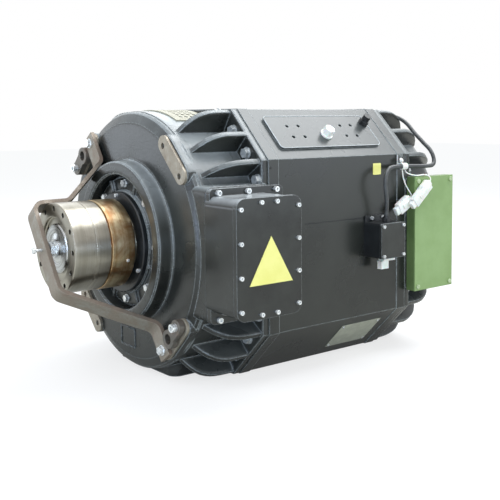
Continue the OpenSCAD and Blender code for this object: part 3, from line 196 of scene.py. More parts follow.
# On rolled plate the same paint lies nearly flat, with broad faint clouds.
plateEnamel = makeEnamel("enamel_on_steel_plate", {
    "dark": "#1c1e1c", "pale": "#2a2c28", "dustAndSheen": "#8d9394", "dustAndSheenShare": 0.7,
    "wornAndHighlight": "#aab1b2", "wearAndHighlight": 0.9, "cloud": 0.24, "grain": 0.018,
    "edge": 0.003, "round": 0.003, "gloss": (0.19, 0.37), "relief": 0.05,
})
# On the cast aluminium boxes it is glossier, and palest on top, with dust and painted sheen. Their
# grain is
# finer than the iron's, and is drawn 5 mm wide.
boxEnamel = makeEnamel("enamel_on_cast_aluminium", {
    "dark": "#212221", "pale": "#2e302d", "dustAndSheen": "#c3c8ca", "dustAndSheenShare": 1.6,
    "wornAndHighlight": "#989d9e", "wearAndHighlight": 0.9, "cloud": 0.12, "grain": 0.005,
    "edge": 0.0018, "round": 0.0025, "gloss": (0.14, 0.3), "relief": 0.12,
})


# Metal turned on a lathe: fine rings round the shaft on faces and on rims,
# drawn 2 to 6 mm wide, as the real 0.2 mm feed marks are too fine to show.
def makeTurned(name, v):
    m, t = startMaterial(name)
    where = addNode(t, "TexCoord").outputs["Object"]
    x, y, z = addNode(t, "SeparateXYZ", {}, {0: where}).outputs
    across = addNode(t, "CombineXYZ", {}, {1: y, 2: z}).outputs[0]
    radius = addNode(t, "VectorMath", {"operation": "LENGTH"}, {0: across}).outputs["Value"]
    lathe = addNode(t, "CombineXYZ", {}, {0: x, 1: radius}).outputs[0]
    rings = addNode(t, "TexNoise", {"Scale": 1 / v["ring"], "Detail": 5.0, "Roughness": 0.7},
                    {"Vector": lathe}).outputs[0]
    bands = addNode(t, "TexNoise", {"Scale": 1 / v["band"], "Detail": 3.0},
                    {"Vector": lathe}).outputs[0]
    stain = addNode(t, "TexNoise", {"Scale": 1 / v["stain"], "Detail": 6.0, "Roughness": 0.62,
                                    "Distortion": 0.6}, {"Vector": where}).outputs[0]
    tone = addNode(t, "ValToRGB", {}, {0: bands}, [(0.3, v["dark"]), (0.7, v["pale"])]).outputs[0]
    tarnished = addNode(t, "MapRange", {"From Min": v["stainFrom"],
                                        "From Max": v["stainFrom"] + 0.16,
                                        "To Max": v["staining"]}, {"Value": stain}).outputs[0]
    tone = addNode(t, "Mix", {"data_type": "RGBA", 7: v["tarnish"]},
                   {0: tarnished, 6: tone}).outputs[2]
    gloss = addNode(t, "MapRange", {"From Min": 0.3, "From Max": 0.7, "To Min": v["gloss"][0],
                                    "To Max": v["gloss"][1]}, {"Value": rings}).outputs[0]
    soft = addNode(t, "Bevel", {"samples": 4, "Radius": 0.001}).outputs[0]
    bump = addNode(t, "Bump", {"Strength": v["relief"], "Distance": 0.0004},
                   {"Height": rings, "Normal": soft}).outputs[0]
    along = addNode(t, "Tangent", {"direction_type": "RADIAL", "axis": "X"}).outputs[0]
    endMaterial(t, {"Metallic": 1.0, "Anisotropic": v["stretch"], "Anisotropic Rotation": 0.25},
                {"Base Color": tone, "Roughness": gloss, "Normal": bump, "Tangent": along})
    return m


# Carbon steel left bare: warm grey, with a brown film of old oil in patches.
hubSteel = makeTurned("turned_carbon_steel", {
    "dark": "#989489", "pale": "#aca89d", "tarnish": "#6f6556", "staining": 0.4,
    "stainFrom": 0.56, "ring": 0.003, "band": 0.014, "stain": 0.05,
    "gloss": (0.26, 0.34), "relief": 0.05, "stretch": 0.3,
})
# A freshly faced plate: brighter and cooler, with rings that catch the light.
endPlateSteel = makeTurned("bright_turned_steel", {
    "dark": "#a6a8a9", "pale": "#cdcfcf", "tarnish": "#7f8386", "staining": 0.3,
    "stainFrom": 0.6, "ring": 0.006, "band": 0.01, "stain": 0.03,
    "gloss": (0.2, 0.32), "relief": 0.2, "stretch": 0.5,
})
# Tin bronze: pale gold where it is rubbed, orange-brown where it has tarnished.
ringBronze = makeTurned("turned_tin_bronze", {
    "dark": "#cfb58a", "pale": "#e7d5b0", "tarnish": "#a8703f", "staining": 0.75,
    "stainFrom": 0.46, "ring": 0.003, "band": 0.007, "stain": 0.06,
    "gloss": (0.26, 0.36), "relief": 0.05, "stretch": 0.3,
})
# Ground and oiled: the brightest steel of the machine.
bearingSteel = makeTurned("ground_bearing_steel", {
    "dark": "#b3b5b7", "pale": "#d6d8d9", "tarnish": "#8d8f8e", "staining": 0.2,
    "stainFrom": 0.6, "ring": 0.002, "band": 0.02, "stain": 0.05,
    "gloss": (0.12, 0.2), "relief": 0.1, "stretch": 0.3,
})
# Machined brass: yellow, with a duller brown bloom.
cageBrass = makeTurned("machined_cage_brass", {
    "dark": "#a98346", "pale": "#cfa968", "tarnish": "#7b5a30", "staining": 0.3,
    "stainFrom": 0.55, "ring": 0.002, "band": 0.02, "stain": 0.04,
    "gloss": (0.22, 0.34), "relief": 0.15, "stretch": 0.2,
})


# Hot-rolled steel left bare: grey-brown mill scale with rust blooming through
# it, paler along the edges, dull all over and browner where water stands. The
# pits are drawn 4 to 6 mm wide, as real ones of 1 mm are too fine to show.
def makeRusty(name, v):
    facingUp = (0.25, 0.9)  # from a steep, dry face to a level, wet one
    bent = (0.99, 0.82)  # how far an edge turns before it is paler
    m, t = startMaterial(name)
    where = addNode(t, "TexCoord").outputs["Object"]
    geometry = addNode(t, "NewGeometry")
    bloom = addNode(t, "TexNoise", {"Scale": 1 / v["bloom"], "Detail": 8.0, "Roughness": 0.65,
                                    "Distortion": 0.4}, {"Vector": where}).outputs[0]
    pits = addNode(t, "TexNoise", {"Scale": 1 / v["pit"], "Detail": 5.0, "Roughness": 0.7},
                   {"Vector": where}).outputs[0]
    tone = addNode(t, "ValToRGB", {}, {0: bloom}, [(0.35, v["scale"]), (0.52, v["brown"]),
                                                   (0.68, v["rust"])]).outputs[0]
    soft = addNode(t, "Bevel", {"samples": 4, "Radius": 0.0015}).outputs[0]
    flat = addNode(t, "VectorMath", {"operation": "DOT_PRODUCT"},
                   {0: soft, 1: geometry.outputs["Normal"]}).outputs["Value"]
    rim = addNode(t, "MapRange", {"From Min": bent[0], "From Max": bent[1], "To Max": 0.7},
                  {"Value": flat}).outputs[0]
    tone = addNode(t, "Mix", {"data_type": "RGBA", 7: v["edge"]}, {0: rim, 6: tone}).outputs[2]
    up = addNode(t, "SeparateXYZ", {}, {0: geometry.outputs["Normal"]}).outputs[2]
    wet = addNode(t, "MapRange", {"From Min": facingUp[0], "From Max": facingUp[1],
                                  "To Max": v["wetness"]}, {"Value": up}).outputs[0]
    tone = addNode(t, "Mix", {"data_type": "RGBA", 7: v["wet"]}, {0: wet, 6: tone}).outputs[2]
    speck = addNode(t, "MapRange", {"From Min": 0.45, "From Max": 0.75, "To Max": 0.5},
                    {"Value": pits}).outputs[0]
    tone = addNode(t, "Mix", {"data_type": "RGBA", 7: v["rust"]}, {0: speck, 6: tone}).outputs[2]
    dull = addNode(t, "MapRange", {"From Min": 0.3, "From Max": 0.7, "To Min": v["gloss"][0],
                                   "To Max": v["gloss"][1]}, {"Value": bloom}).outputs[0]
    metal = addNode(t, "MapRange", {"From Min": 0.42, "From Max": 0.62, "To Min": v["metal"],
                                    "To Max": 0.0}, {"Value": bloom}).outputs[0]
    bump = addNode(t, "Bump", {"Strength": 0.5, "Distance": 0.0006},
                   {"Height": pits, "Normal": soft}).outputs[0]
    endMaterial(t, {}, {"Base Color": tone, "Roughness": dull, "Metallic": metal, "Normal": bump})
    return m


# Flat bar, sawn and bent: brown, with rust along its upper edge.
strapSteel = makeRusty("hot_rolled_flat_bar", {
    "scale": "#98948a", "brown": "#8a8174", "rust": "#7b685a", "edge": "#a39c90",
    "wet": "#5b4437", "wetness": 0.75, "bloom": 0.06, "pit": 0.006,
    "gloss": (0.42, 0.66), "metal": 0.6,
})
# Milled pads with no paint on them: the palest of the rusty steels.
padSteel = makeRusty("machined_bare_steel", {
    "scale": "#a5a195", "brown": "#958c7d", "rust": "#7f705f", "edge": "#b9b4a6",
    "wet": "#7f705f", "wetness": 0.3, "bloom": 0.05, "pit": 0.006,
    "gloss": (0.36, 0.6), "metal": 0.6,
})
# Forged lugs: dark scale, smoother and greyer.
lugSteel = makeRusty("forged_lug_steel", {
    "scale": "#6a6964", "brown": "#66615a", "rust": "#6b5c50", "edge": "#8b8982",
    "wet": "#5b4f45", "wetness": 0.4, "bloom": 0.04, "pit": 0.004,
    "gloss": (0.34, 0.56), "metal": 0.7,
})


# Plated fasteners: metal with a soft, slightly uneven shine.
def makePlated(name, v):
    spot = 0.00625  # about half a screw head across
    m, t = startMaterial(name)
    where = addNode(t, "TexCoord").outputs["Object"]
    cloud = addNode(t, "TexNoise", {"Scale": 1 / spot, "Detail": 3.0},
                    {"Vector": where}).outputs[0]
    tone = addNode(t, "ValToRGB", {}, {0: cloud}, [(0.3, v["dark"]), (0.7, v["pale"])]).outputs[0]
    shine = addNode(t, "MapRange", {"From Min": 0.3, "From Max": 0.7, "To Min": v["gloss"][0],
                                    "To Max": v["gloss"][1]}, {"Value": cloud}).outputs[0]
    soft = addNode(t, "Bevel", {"samples": 4, "Radius": 0.0006}).outputs[0]
    endMaterial(t, {"Metallic": 0.6}, {"Base Color": tone, "Roughness": shine, "Normal": soft})
    return m


# Zinc that has aged outdoors: matt and grey.
dullZinc = makePlated("aged_zinc_plate", {
    "dark": "#a2a6a6", "pale": "#c8cbcb", "gloss": (0.34, 0.5),
})
# New zinc: bright and blue-white.
zinc = makePlated("bright_zinc_plate", {
    "dark": "#d3d6d6", "pale": "#f4f5f4", "gloss": (0.2, 0.34),
})
# Steel blackened in a hot bath: an oily black.
blackOxide = makePlated("black_oxide_steel", {
    "dark": "#2a2b2c", "pale": "#4a4b4c", "gloss": (0.3, 0.45),
})


# A painted or moulded skin in one colour: slight tone drift, fine grain, soft
# edges. The grain is drawn 1.5 to 4 mm wide, as a real one, well under 1 mm, is
# too fine to show.
def makeSkin(name, v):
    m, t = startMaterial(name)
    where = addNode(t, "TexCoord").outputs["Object"]
    cloud = addNode(t, "TexNoise", {"Scale": 1 / v["cloud"], "Detail": 5.0, "Roughness": 0.6},
                    {"Vector": where}).outputs[0]
    grain = addNode(t, "TexNoise", {"Scale": 1 / v["grain"], "Detail": 2.0},
                    {"Vector": where}).outputs[0]
    tone = addNode(t, "ValToRGB", {}, {0: cloud}, [(0.3, v["dark"]), (0.7, v["pale"])]).outputs[0]
    shine = addNode(t, "MapRange", {"From Min": 0.3, "From Max": 0.7, "To Min": v["gloss"][0],
                                    "To Max": v["gloss"][1]}, {"Value": cloud}).outputs[0]
    soft = addNode(t, "Bevel", {"samples": 4, "Radius": v["edge"]}).outputs[0]
    bump = addNode(t, "Bump", {"Strength": v["relief"], "Distance": 0.0005},
                   {"Height": grain, "Normal": soft}).outputs[0]
    endMaterial(t, v.get("more", {}), {"Base Color": tone, "Roughness": shine, "Normal": bump})
    return m


# Air-drying alkyd enamel, brushed on: a leaf green with a low sheen.
greenEnamel = makeSkin("alkyd_enamel_green", {
    "dark": "#809c61", "pale": "#8da970", "cloud": 0.1, "grain": 0.004,
    "gloss": (0.32, 0.42), "relief": 0.15, "edge": 0.0012,
})
# The same green made darker: painted shade on the sides of the green box's body.
greenPaintedShade = makeSkin("alkyd_enamel_green_painted_shade", {
    "dark": "#5d7446", "pale": "#6d8553", "cloud": 0.08, "grain": 0.004,
    "gloss": (0.34, 0.46), "relief": 0.15, "edge": 0.0012,
})
# The green rubbed thin on the screw heads, with the zinc shining through.
screwGreen = makeSkin("alkyd_enamel_on_screws", {
    "dark": "#9bb080", "pale": "#bccba4", "cloud": 0.006, "grain": 0.002,
    "gloss": (0.3, 0.4), "relief": 0.2, "edge": 0.0008,
})
# Yellow ink on sheet aluminium: pale lemon, smooth and satin.
yellowFoil = makeSkin("screen_printed_aluminium_yellow", {
    "dark": "#ebe682", "pale": "#f4ef92", "cloud": 0.05, "grain": 0.003,
    "gloss": (0.28, 0.4), "relief": 0.08, "edge": 0.0005,
})
# Moulded nylon: milky white, with a little light under the skin.
whiteNylon = makeSkin("moulded_white_nylon", {
    "dark": "#e6e7e1", "pale": "#f6f7f2", "cloud": 0.02, "grain": 0.002,
    "gloss": (0.34, 0.46), "relief": 0.15, "edge": 0.0008,
    "more": {"Subsurface Weight": 0.15, "Subsurface Scale": 0.002},
})
# Enamel rubbed down to a pale line along a milled edge.
rubbedEnamel = makeSkin("rubbed_enamel_rim", {
    "dark": "#a3a8a9", "pale": "#c3c7c8", "cloud": 0.01, "grain": 0.004,
    "gloss": (0.3, 0.5), "relief": 0.2, "edge": 0.0005,
})
# Moulded ABS: near black, finely grained.
blackAbs = makeSkin("moulded_black_abs", {
    "dark": "#17191b", "pale": "#202325", "cloud": 0.03, "grain": 0.0016,
    "gloss": (0.3, 0.42), "relief": 0.2, "edge": 0.0012,
})
# Nitrile rubber: black and matt.
sealRubber = makeSkin("nitrile_rubber", {
    "dark": "#151617", "pale": "#1f2021", "cloud": 0.03, "grain": 0.0015,
    "gloss": (0.5, 0.66), "relief": 0.3, "edge": 0.0008,
})
# Corrugated polyamide tube: dark grey, slightly waxy.
conduitGrey = makeSkin("polyamide_conduit", {
    "dark": "#37393a", "pale": "#4a4d4e", "cloud": 0.03, "grain": 0.0015,
    "gloss": (0.3, 0.42), "relief": 0.15, "edge": 0.0005,
})
# Pressed phenolic resin: red-brown, hard and glossy.
blockResin = makeSkin("red_brown_phenolic", {
    "dark": "#5c2417", "pale": "#71301f", "cloud": 0.03, "grain": 0.0015,
    "gloss": (0.25, 0.35), "relief": 0.2, "edge": 0.001,
})
# Copper wire under baked varnish: amber brown, in ridges.
windingVarnish = makeSkin("varnished_copper_wire", {
    "dark": "#7d3a18", "pale": "#a85826", "cloud": 0.01, "grain": 0.0015,
    "gloss": (0.22, 0.34), "relief": 0.8, "edge": 0.002,
})
# Perforated sheet in zinc-chromate primer: a chalky buff.
grillePrimer = makeSkin("primed_perforated_sheet", {
    "dark": "#96937f", "pale": "#aca997", "cloud": 0.03, "grain": 0.003,
    "gloss": (0.4, 0.55), "relief": 0.15, "edge": 0.0006,
})
# Etched aluminium plate: pale grey-green and matt.
bareAluminium = makeSkin("etched_aluminium", {
    "dark": "#a8aa9b", "pale": "#bbbdae", "cloud": 0.02, "grain": 0.002,
    "gloss": (0.38, 0.5), "relief": 0.2, "edge": 0.0005, "more": {"Metallic": 0.3},
})


# Stacked electrical steel sheets: thin lines across the stack, 4 mm apart,
# as the real 0.5 mm sheets are too fine to show.
def makeLaminations():
    m, t = startMaterial("electrical_steel_stack")
    where = addNode(t, "TexCoord").outputs["Object"]
    lines = addNode(t, "TexWave", {"Scale": 80.0, "Distortion": 0.4, "Detail": 2.0},
                    {"Vector": where}).outputs[1]
    tone = addNode(t, "ValToRGB", {}, {0: lines}, [(0.2, "#4b4e50"), (0.8, "#7d8183")]).outputs[0]
    bump = addNode(t, "Bump", {"Strength": 0.4, "Distance": 0.0003}, {"Height": lines}).outputs[0]
    endMaterial(t, {"Metallic": 0.9, "Roughness": 0.45}, {"Base Color": tone, "Normal": bump})
    return m


finish(castEnamel, ["drive_end_shield", "rear_end_shield", "bearing_housing",
                    "rear_bearing_housing", "rear_bearing_cover"])
finish(plateEnamel, ["stator_frame"])
finish(boxEnamel, ["terminal_box", "terminal_box_cover", "sensor_box_cover"])
finish(hubSteel, ["drive_hub", "shaft", "labyrinth_ring"])
finish(endPlateSteel, ["hub_end_plate"])
finish(ringBronze, ["spacer_ring"])
finish(bearingSteel, ["drive_end_outer_ring", "drive_end_inner_ring", "rear_outer_ring",
                      "rear_inner_ring", "rotor_cage", "rotor_fan"])
finish(cageBrass, ["drive_end_roller_set", "rear_ball_set", "terminal_studs"])
finish(strapSteel, ["transport_strap"])
finish(lugSteel, ["tie_down_lugs"])
finish(padSteel, ["mounting_pads"])
finish(zinc, ["bearing_housing_bolts", "bearing_cap_screws", "rear_cover_bolts",
              "terminal_cover_screws", "terminal_flange_screws", "data_plate_rivets",
              "sensor_box_screws", "strap_foot_bolts", "strap_centre_screw", "lug_bolts",
              "hub_centre_bolt"])
finish(dullZinc, ["front_shield_bolts", "rear_shield_bolts"])
finish(blackAbs, ["bearing_cap", "sensor_box", "cable_glands"])
finish(sealRubber, ["terminal_box_gasket"])
finish(greenEnamel, ["auxiliary_box", "auxiliary_box_lid", "auxiliary_lid_screws"])
finish(yellowFoil, ["triangle_plate", "square_plate"])
finish(bareAluminium, ["data_plate"])
finish(whiteNylon, ["sensor_box_plug", "cable_clip", "port_plugs", "spare_leads",
                    "spare_connectors"])
finish(conduitGrey, ["sensor_cable"])
finish(grillePrimer, ["air_grilles"])
finish(blockResin, ["terminal_block"])
finish(windingVarnish, ["stator_windings"])
finish(makeLaminations(), ["stator_core", "rotor_core"])
print("finishes on the packed nodes")


def only(obj):  # selects one object and makes it active
    bpy.ops.object.select_all(action="DESELECT")
    obj.select_set(True)
    bpy.context.view_layer.objects.active = obj


def applyAll(obj):
    only(obj)
    for modifier in list(obj.modifiers):
        bpy.ops.object.modifier_apply(modifier=modifier.name)


def settle(obj):  # moves an object's place and turn into its mesh
    only(obj)
    bpy.ops.object.transform_apply(location=True, rotation=True, scale=True)


def join(parts):
    bpy.ops.object.select_all(action="DESELECT")
    for part in parts:
        part.select_set(True)
    bpy.context.view_layer.objects.active = parts[0]
    bpy.ops.object.join()
    return parts[0]


def shade(obj, degrees):  # smooth up to this angle, sharp past it
    only(obj)
    bpy.ops.object.shade_smooth_by_angle(angle=math.radians(degrees))


def dress(obj, name, material, body="stator", replaced=()):
    obj.name = name
    obj.data.materials.clear()
    obj.data.materials.append(material)
    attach(obj, body)
    if replaced:
        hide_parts(*replaced)
    return obj


edgeValues = {
    "weld": 0.00002,  # metres between points that become one
    "flat": 1.5,  # degrees between faces that become one
    "bevelFrom": 32,  # degrees from which an edge is softened
    "rows": 3,
    "smoothTo": 40,
}


# A copy of a CAD piece with softened edges, which catch the light.
def soften(nodeName, newName, width, material, slot):
    v = edgeValues
    obj = nodes[nodeName].copy()
    obj.data = nodes[nodeName].data.copy()
    obj.name, obj.parent = newName, None
    for key in list(obj.keys()):
        del obj[key]
    bpy.context.scene.collection.objects.link(obj)
    only(obj)
    bpy.ops.object.mode_set(mode="EDIT")
    bpy.ops.mesh.select_all(action="SELECT")
    bpy.ops.mesh.remove_doubles(threshold=v["weld"])
    bpy.ops.mesh.dissolve_limited(angle_limit=math.radians(v["flat"]))
    bpy.ops.object.mode_set(mode="OBJECT")
    edge = obj.modifiers.new("edge", "BEVEL")
    edge.width, edge.segments = width * mm, v["rows"]
    edge.limit_method, edge.angle_limit = "ANGLE", math.radians(v["bevelFrom"])
    applyAll(obj)
    shade(obj, v["smoothTo"])
    flat = obj.modifiers.new("flat", "WEIGHTED_NORMAL")
    flat.keep_sharp = True
    applyAll(obj)
    return dress(obj, newName, material, replaced=(nodeName,))


roundingValues = {
    "rows": 2,
    "sides": 24,
    "discShare": 0.3,  # rounding of a disc, as a share of its radius or depth
    "smoothTo": 40,
}


def addBlock(size, middle, edgeWidth):  # all in mm
    bpy.ops.object.select_all(action="DESELECT")
    bpy.ops.mesh.primitive_cube_add(size=1, location=[m * mm for m in middle],
                                    scale=[d * mm for d in size])
    block = bpy.context.object
    settle(block)
    edge = block.modifiers.new("edge", "BEVEL")
    edge.width, edge.segments = edgeWidth * mm, roundingValues["rows"]
    applyAll(block)
    shade(block, roundingValues["smoothTo"])
    return block


def addDisc(radius, depth, middle):  # in mm, its axis across the machine
    v = roundingValues
    bpy.ops.object.select_all(action="DESELECT")
    bpy.ops.mesh.primitive_cylinder_add(vertices=v["sides"], radius=radius * mm,
                                        depth=depth * mm, location=[m * mm for m in middle],
                                        rotation=(math.pi / 2, 0, 0))
    disc = bpy.context.object
    settle(disc)
    edge = disc.modifiers.new("edge", "BEVEL")
    edge.width, edge.segments = min(radius, depth) * v["discShare"] * mm, v["rows"]
    edge.limit_method = "ANGLE"
    applyAll(disc)
    shade(disc, v["smoothTo"])
    return disc


# A round curve through a route. The rows are its steps between two points, the
# roundness the steps of a quarter turn.
def layCurve(name, points, thick, rows, roundness=3):
    line = bpy.data.curves.new(name, "CURVE")
    line.dimensions, line.resolution_u = "3D", rows
    line.bevel_depth, line.bevel_resolution = thick * mm / 2, roundness
    line.use_fill_caps = True
    spline = line.splines.new("BEZIER")
    spline.bezier_points.add(len(points) - 1)
    for knot, spot in zip(spline.bezier_points, points):
        knot.co = Vector(spot) * mm
        knot.handle_left_type = knot.handle_right_type = "AUTO"
    obj = bpy.data.objects.new(name, line)
    bpy.context.scene.collection.objects.link(obj)
    return obj


def routeLength(points):
    return sum((Vector(b) - Vector(a)).length for a, b in zip(points, points[1:])) * mm


# Two spare leads, from the clip to the tops of their connectors, in mm. The
# tilt is a connector's lean from upright in degrees, and wiresIn is how far the
# wires run on inside it.
leadValues = {
    "thick": 3.2,
    "rows": 6,
    "low": [
        (803, -340, 162), (803, -341, 155), (803, -342, 148), (804, -343, 141),
        (806, -344, 134), (808, -345, 127), (811, -346, 121), (815, -347, 115),
        (819, -347, 110), (823, -347, 105.5), (826, -347, 102), (828, -347, 99.5),
        (829.5, -347, 96.8), (830, -347, 93.5), (829, -347, 90), (826, -347, 87),
    ],
    "high": [
        (813, -340, 162), (814, -342, 157), (817, -346, 153), (822, -350, 150),
        (828, -355, 148), (835, -359, 147), (843, -362, 147), (851, -364, 148),
        (859, -366, 148), (867, -366, 147), (874, -366, 145), (880, -366, 141),
        (882.6, -366, 137.6), (883.2, -366, 134), (882.3, -366, 130.8), (880, -366, 128.5),
    ],
    "lowConnector": {"tilt": 60, "wide": 30, "tall": 56, "wiresIn": 28},
    "highConnector": {"tilt": 49.5, "wide": 28, "tall": 84, "wiresIn": 44},
}


def runInto(points, v):
    tilt = math.radians(v["tilt"])
    along = Vector((-math.sin(tilt), 0, -math.cos(tilt)))
    inside = [tuple(Vector(points[-1]) + along * v["wiresIn"] * share) for share in (0.5, 1)]
    return points + inside


lowRoute = runInto(leadValues["low"], leadValues["lowConnector"])
highRoute = runInto(leadValues["high"], leadValues["highConnector"])
lowLead = layCurve("lowLead", lowRoute, leadValues["thick"], leadValues["rows"])
highLead = layCurve("highLead", highRoute, leadValues["thick"], leadValues["rows"])


cableValues = {
    "thick": 11.0,
    "rib": 3.2,
    "ribHeight": 0.7,
    "sides": 20,
    "weld": 0.0001,  # metres between ribs that become one
    "rows": 12,
    "route": [
        (727, -356, 51), (727, -357, 66), (724, -360, 88), (718, -363, 112),
        (716, -363, 134), (722, -360, 153), (736, -354, 165), (755, -347, 170),
        (780, -341, 171), (808, -340, 171), (840, -341, 170), (870, -343, 169),
        (898, -344, 169), (920, -341, 171), (934, -334, 180), (941, -320, 202),
        (949, -281, 230), (958, -243, 254), (965, -209, 279), (966, -185, 292),
        (960, -168, 299), (953, -158, 301), (948, -148, 300),
    ],
}


# One corrugation of the conduit, repeated and bent along the route.
def makeConduit(v):
    length = routeLength(v["route"])
    count = int(length / (v["rib"] * mm)) + 1
    pitch = length / count
    swell = v["ribHeight"] * mm
    valley = v["thick"] * mm / 2 - swell
    bpy.ops.object.select_all(action="DESELECT")
    bpy.ops.mesh.primitive_cylinder_add(vertices=v["sides"], radius=valley, depth=pitch,
                                        end_fill_type="NOTHING", location=(pitch / 2, 0, 0),
                                        rotation=(0, math.pi / 2, 0))
    wave = bpy.context.object
    settle(wave)
    bpy.ops.object.mode_set(mode="EDIT")
    for cut in (0.25, 0.5, 0.75):
        bpy.ops.mesh.select_all(action="SELECT")
        bpy.ops.mesh.bisect(plane_co=(pitch * cut, 0, 0), plane_no=(1, 0, 0))
    bpy.ops.object.mode_set(mode="OBJECT")
    for vertex in wave.data.vertices:  # the middle of a wave stands out
        share = vertex.co.x / pitch
        grow = 1 + swell / valley * math.sin(math.pi * share) ** 2
        vertex.co.y, vertex.co.z = vertex.co.y * grow, vertex.co.z * grow
    repeat = wave.modifiers.new("repeat", "ARRAY")
    repeat.count, repeat.use_merge_vertices = count, True
    repeat.merge_threshold = v["weld"]
    path = layCurve("conduitPath", v["route"], 0.0, v["rows"])
    follow = wave.modifiers.new("follow", "CURVE")
    follow.object, follow.deform_axis = path, "POS_X"
    applyAll(wave)
    bpy.data.objects.remove(path)
    bpy.ops.object.shade_smooth()
    dress(wave, "sensorConduit", conduitGrey, replaced=("sensor_cable",))


# What both connectors have alike, in mm from where the wires go in. The body
# ends a little short of the height, where the nose starts. A latch is as wide,
# long and far down as these shares of the housing, and the first grip rib too.
housingValues = {
    "body": {"deep": 16, "from": 6, "shortOf": 4, "edge": 2.0},
    "nose": {"narrower": 9, "deep": 11, "long": 12, "edge": 1.2},
    "collar": {"size": (16, 10, 8), "middle": -4, "edge": 1.5},
    "latch": {"wide": 0.4, "long": 0.5, "down": 0.45, "thick": 3.5, "out": 9, "edge": 1.0},
    "grip": {"down": 0.35, "step": 4, "count": 4, "radius": 0.9, "long": 14, "sides": 8},
    "smoothTo": 35,
}


# A nylon connector housing on a spare lead: body, nose, wire collar, two
# latches and grip ribs on both flanks.
def makeConnector(name, top, v, h):
    wide, tall = v["wide"], v["tall"]
    body, nose, collar, latch, grip = h["body"], h["nose"], h["collar"], h["latch"], h["grip"]
    bodyTall = tall - body["from"] - body["shortOf"]
    bodySize = (wide, body["deep"], bodyTall)
    bodyMiddle = (0, 0, -body["from"] - bodyTall / 2)
    noseSize = (wide - nose["narrower"], nose["deep"], nose["long"])
    noseMiddle = (0, 0, body["shortOf"] - tall - nose["long"] / 2)
    latchSize = (wide * latch["wide"], latch["thick"], tall * latch["long"])
    parts = [addBlock(bodySize, bodyMiddle, body["edge"]),
             addBlock(noseSize, noseMiddle, nose["edge"]),
             addBlock(collar["size"], (0, 0, collar["middle"]), collar["edge"])]
    for side in (1, -1):
        middle = (0, side * latch["out"], -tall * latch["down"])
        parts.append(addBlock(latchSize, middle, latch["edge"]))
    for k in range(grip["count"]):
        for side in (-1, 1):
            middle = (side * wide / 2 * mm, 0, (-tall * grip["down"] - grip["step"] * k) * mm)
            bpy.ops.object.select_all(action="DESELECT")
            bpy.ops.mesh.primitive_cylinder_add(vertices=grip["sides"], radius=grip["radius"] * mm,
                                                depth=grip["long"] * mm, location=middle,
                                                rotation=(math.pi / 2, 0, 0))
            settle(bpy.context.object)
            parts.append(bpy.context.object)
    obj = join(parts)
    obj.rotation_euler = (0, math.radians(v["tilt"]), 0)
    obj.location = Vector(top) * mm
    settle(obj)
    shade(obj, h["smoothTo"])
    return dress(obj, name, whiteNylon, replaced=("spare_connectors",))


makeConduit(cableValues)
lowConnector = makeConnector("lowConnector", leadValues["low"][-1],
                             leadValues["lowConnector"], housingValues)
highConnector = makeConnector("highConnector", leadValues["high"][-1],
                              leadValues["highConnector"], housingValues)
for name, lead, points, end in (("lowLead", lowLead, lowRoute, lowConnector),
                                ("highLead", highLead, highRoute, highConnector)):
    dress(lead, name, whiteNylon, replaced=("spare_leads",))
print("cords and connectors")


softenedPieces = (  # CAD node, piece, width of the softened edges in mm, finish, slot
    ("terminal_box", "terminalBoxBody", 2.5, boxEnamel, "black_paint"),
    ("terminal_box_cover", "terminalBoxLid", 2.0, boxEnamel, "black_paint"),
    ("sensor_box", "sensorBoxBody", 1.5, blackAbs, "dark_plastic"),
    ("sensor_box_cover", "sensorBoxLid", 1.2, boxEnamel, "black_paint"),
    # The green box's body takes the darker green, as painted shade.
    ("auxiliary_box", "auxiliaryBoxBody", 1.0, greenPaintedShade, "green_enamel"),
    ("auxiliary_box_lid", "auxiliaryBoxLid", 0.8, greenEnamel, "green_enamel"),
    ("transport_strap", "strapBar", 1.2, strapSteel, "rusty_steel"),
    ("tie_down_lugs", "liftingLugs", 1.5, lugSteel, "rusty_steel"),
    ("mounting_pads", "padPlates", 0.8, padSteel, "rusty_steel"),
)
for row in softenedPieces:
    soften(*row)


def secondFinish(obj, material, axis, limit):  # faces past the limit take another finish
    obj.data.materials.append(material)
    for face in obj.data.polygons:
        if face.center[axis] > limit:
            face.material_index = 1


plugValues = {"edge": 1.0}
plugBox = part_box("port_plugs")
plugs = soften("port_plugs", "portPlugs", plugValues["edge"], whiteNylon, "white_plastic")
betweenPlugs = (plugBox[0][0] + plugBox[1][0]) / 2
secondFinish(plugs, blackOxide, 0, betweenPlugs)  # the rear plug is a steel one

clipValues = {"edge": 0.6, "paintFrom": 0.183}  # edge in mm, height of the paint in metres
clip = soften("cable_clip", "cableClip", clipValues["edge"], whiteNylon, "white_plastic")
secondFinish(clip, plateEnamel, 2, clipValues["paintFrom"])  # its strap is painted too
print("softened pieces")


# Small pieces that the eye finds on the frame, the hub, the clip and the green
# box, with their sizes in mm.
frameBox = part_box("stator_frame")
nearSide, topSide = frameBox[0][1] / mm, frameBox[1][2] / mm


# The painted shade of a small hole in the frame's band: a thin black disc.
bandHoleShadeValues = {"x": 379.8, "z": 183.8, "radius": 3.4, "thick": 0.8}


def addBandHoleShade(v):  # a black disc in the band round the frame, the painted shade of a small hole
    screw = addDisc(v["radius"], v["thick"], (v["x"], nearSide, v["z"]))
    dress(screw, "bandHoleShade", sealRubber)


addBandHoleShade(bandHoleShadeValues)


rimValues = {
    "x": 594.5,
    "inset": 58.5,  # from the frame's near side and top to the chamfer
    "rise": 4.0,  # out of the chamfer
    "slant": 0.7071,  # share of the rise that goes sideways and up
    "turn": 45,
    "long": 330.0,
    "wide": 104.0,
    "corner": 10.0,
    "cornerSteps": 6,
    "thick": 1.1,  # half the line's width
    "roundness": 2,
}


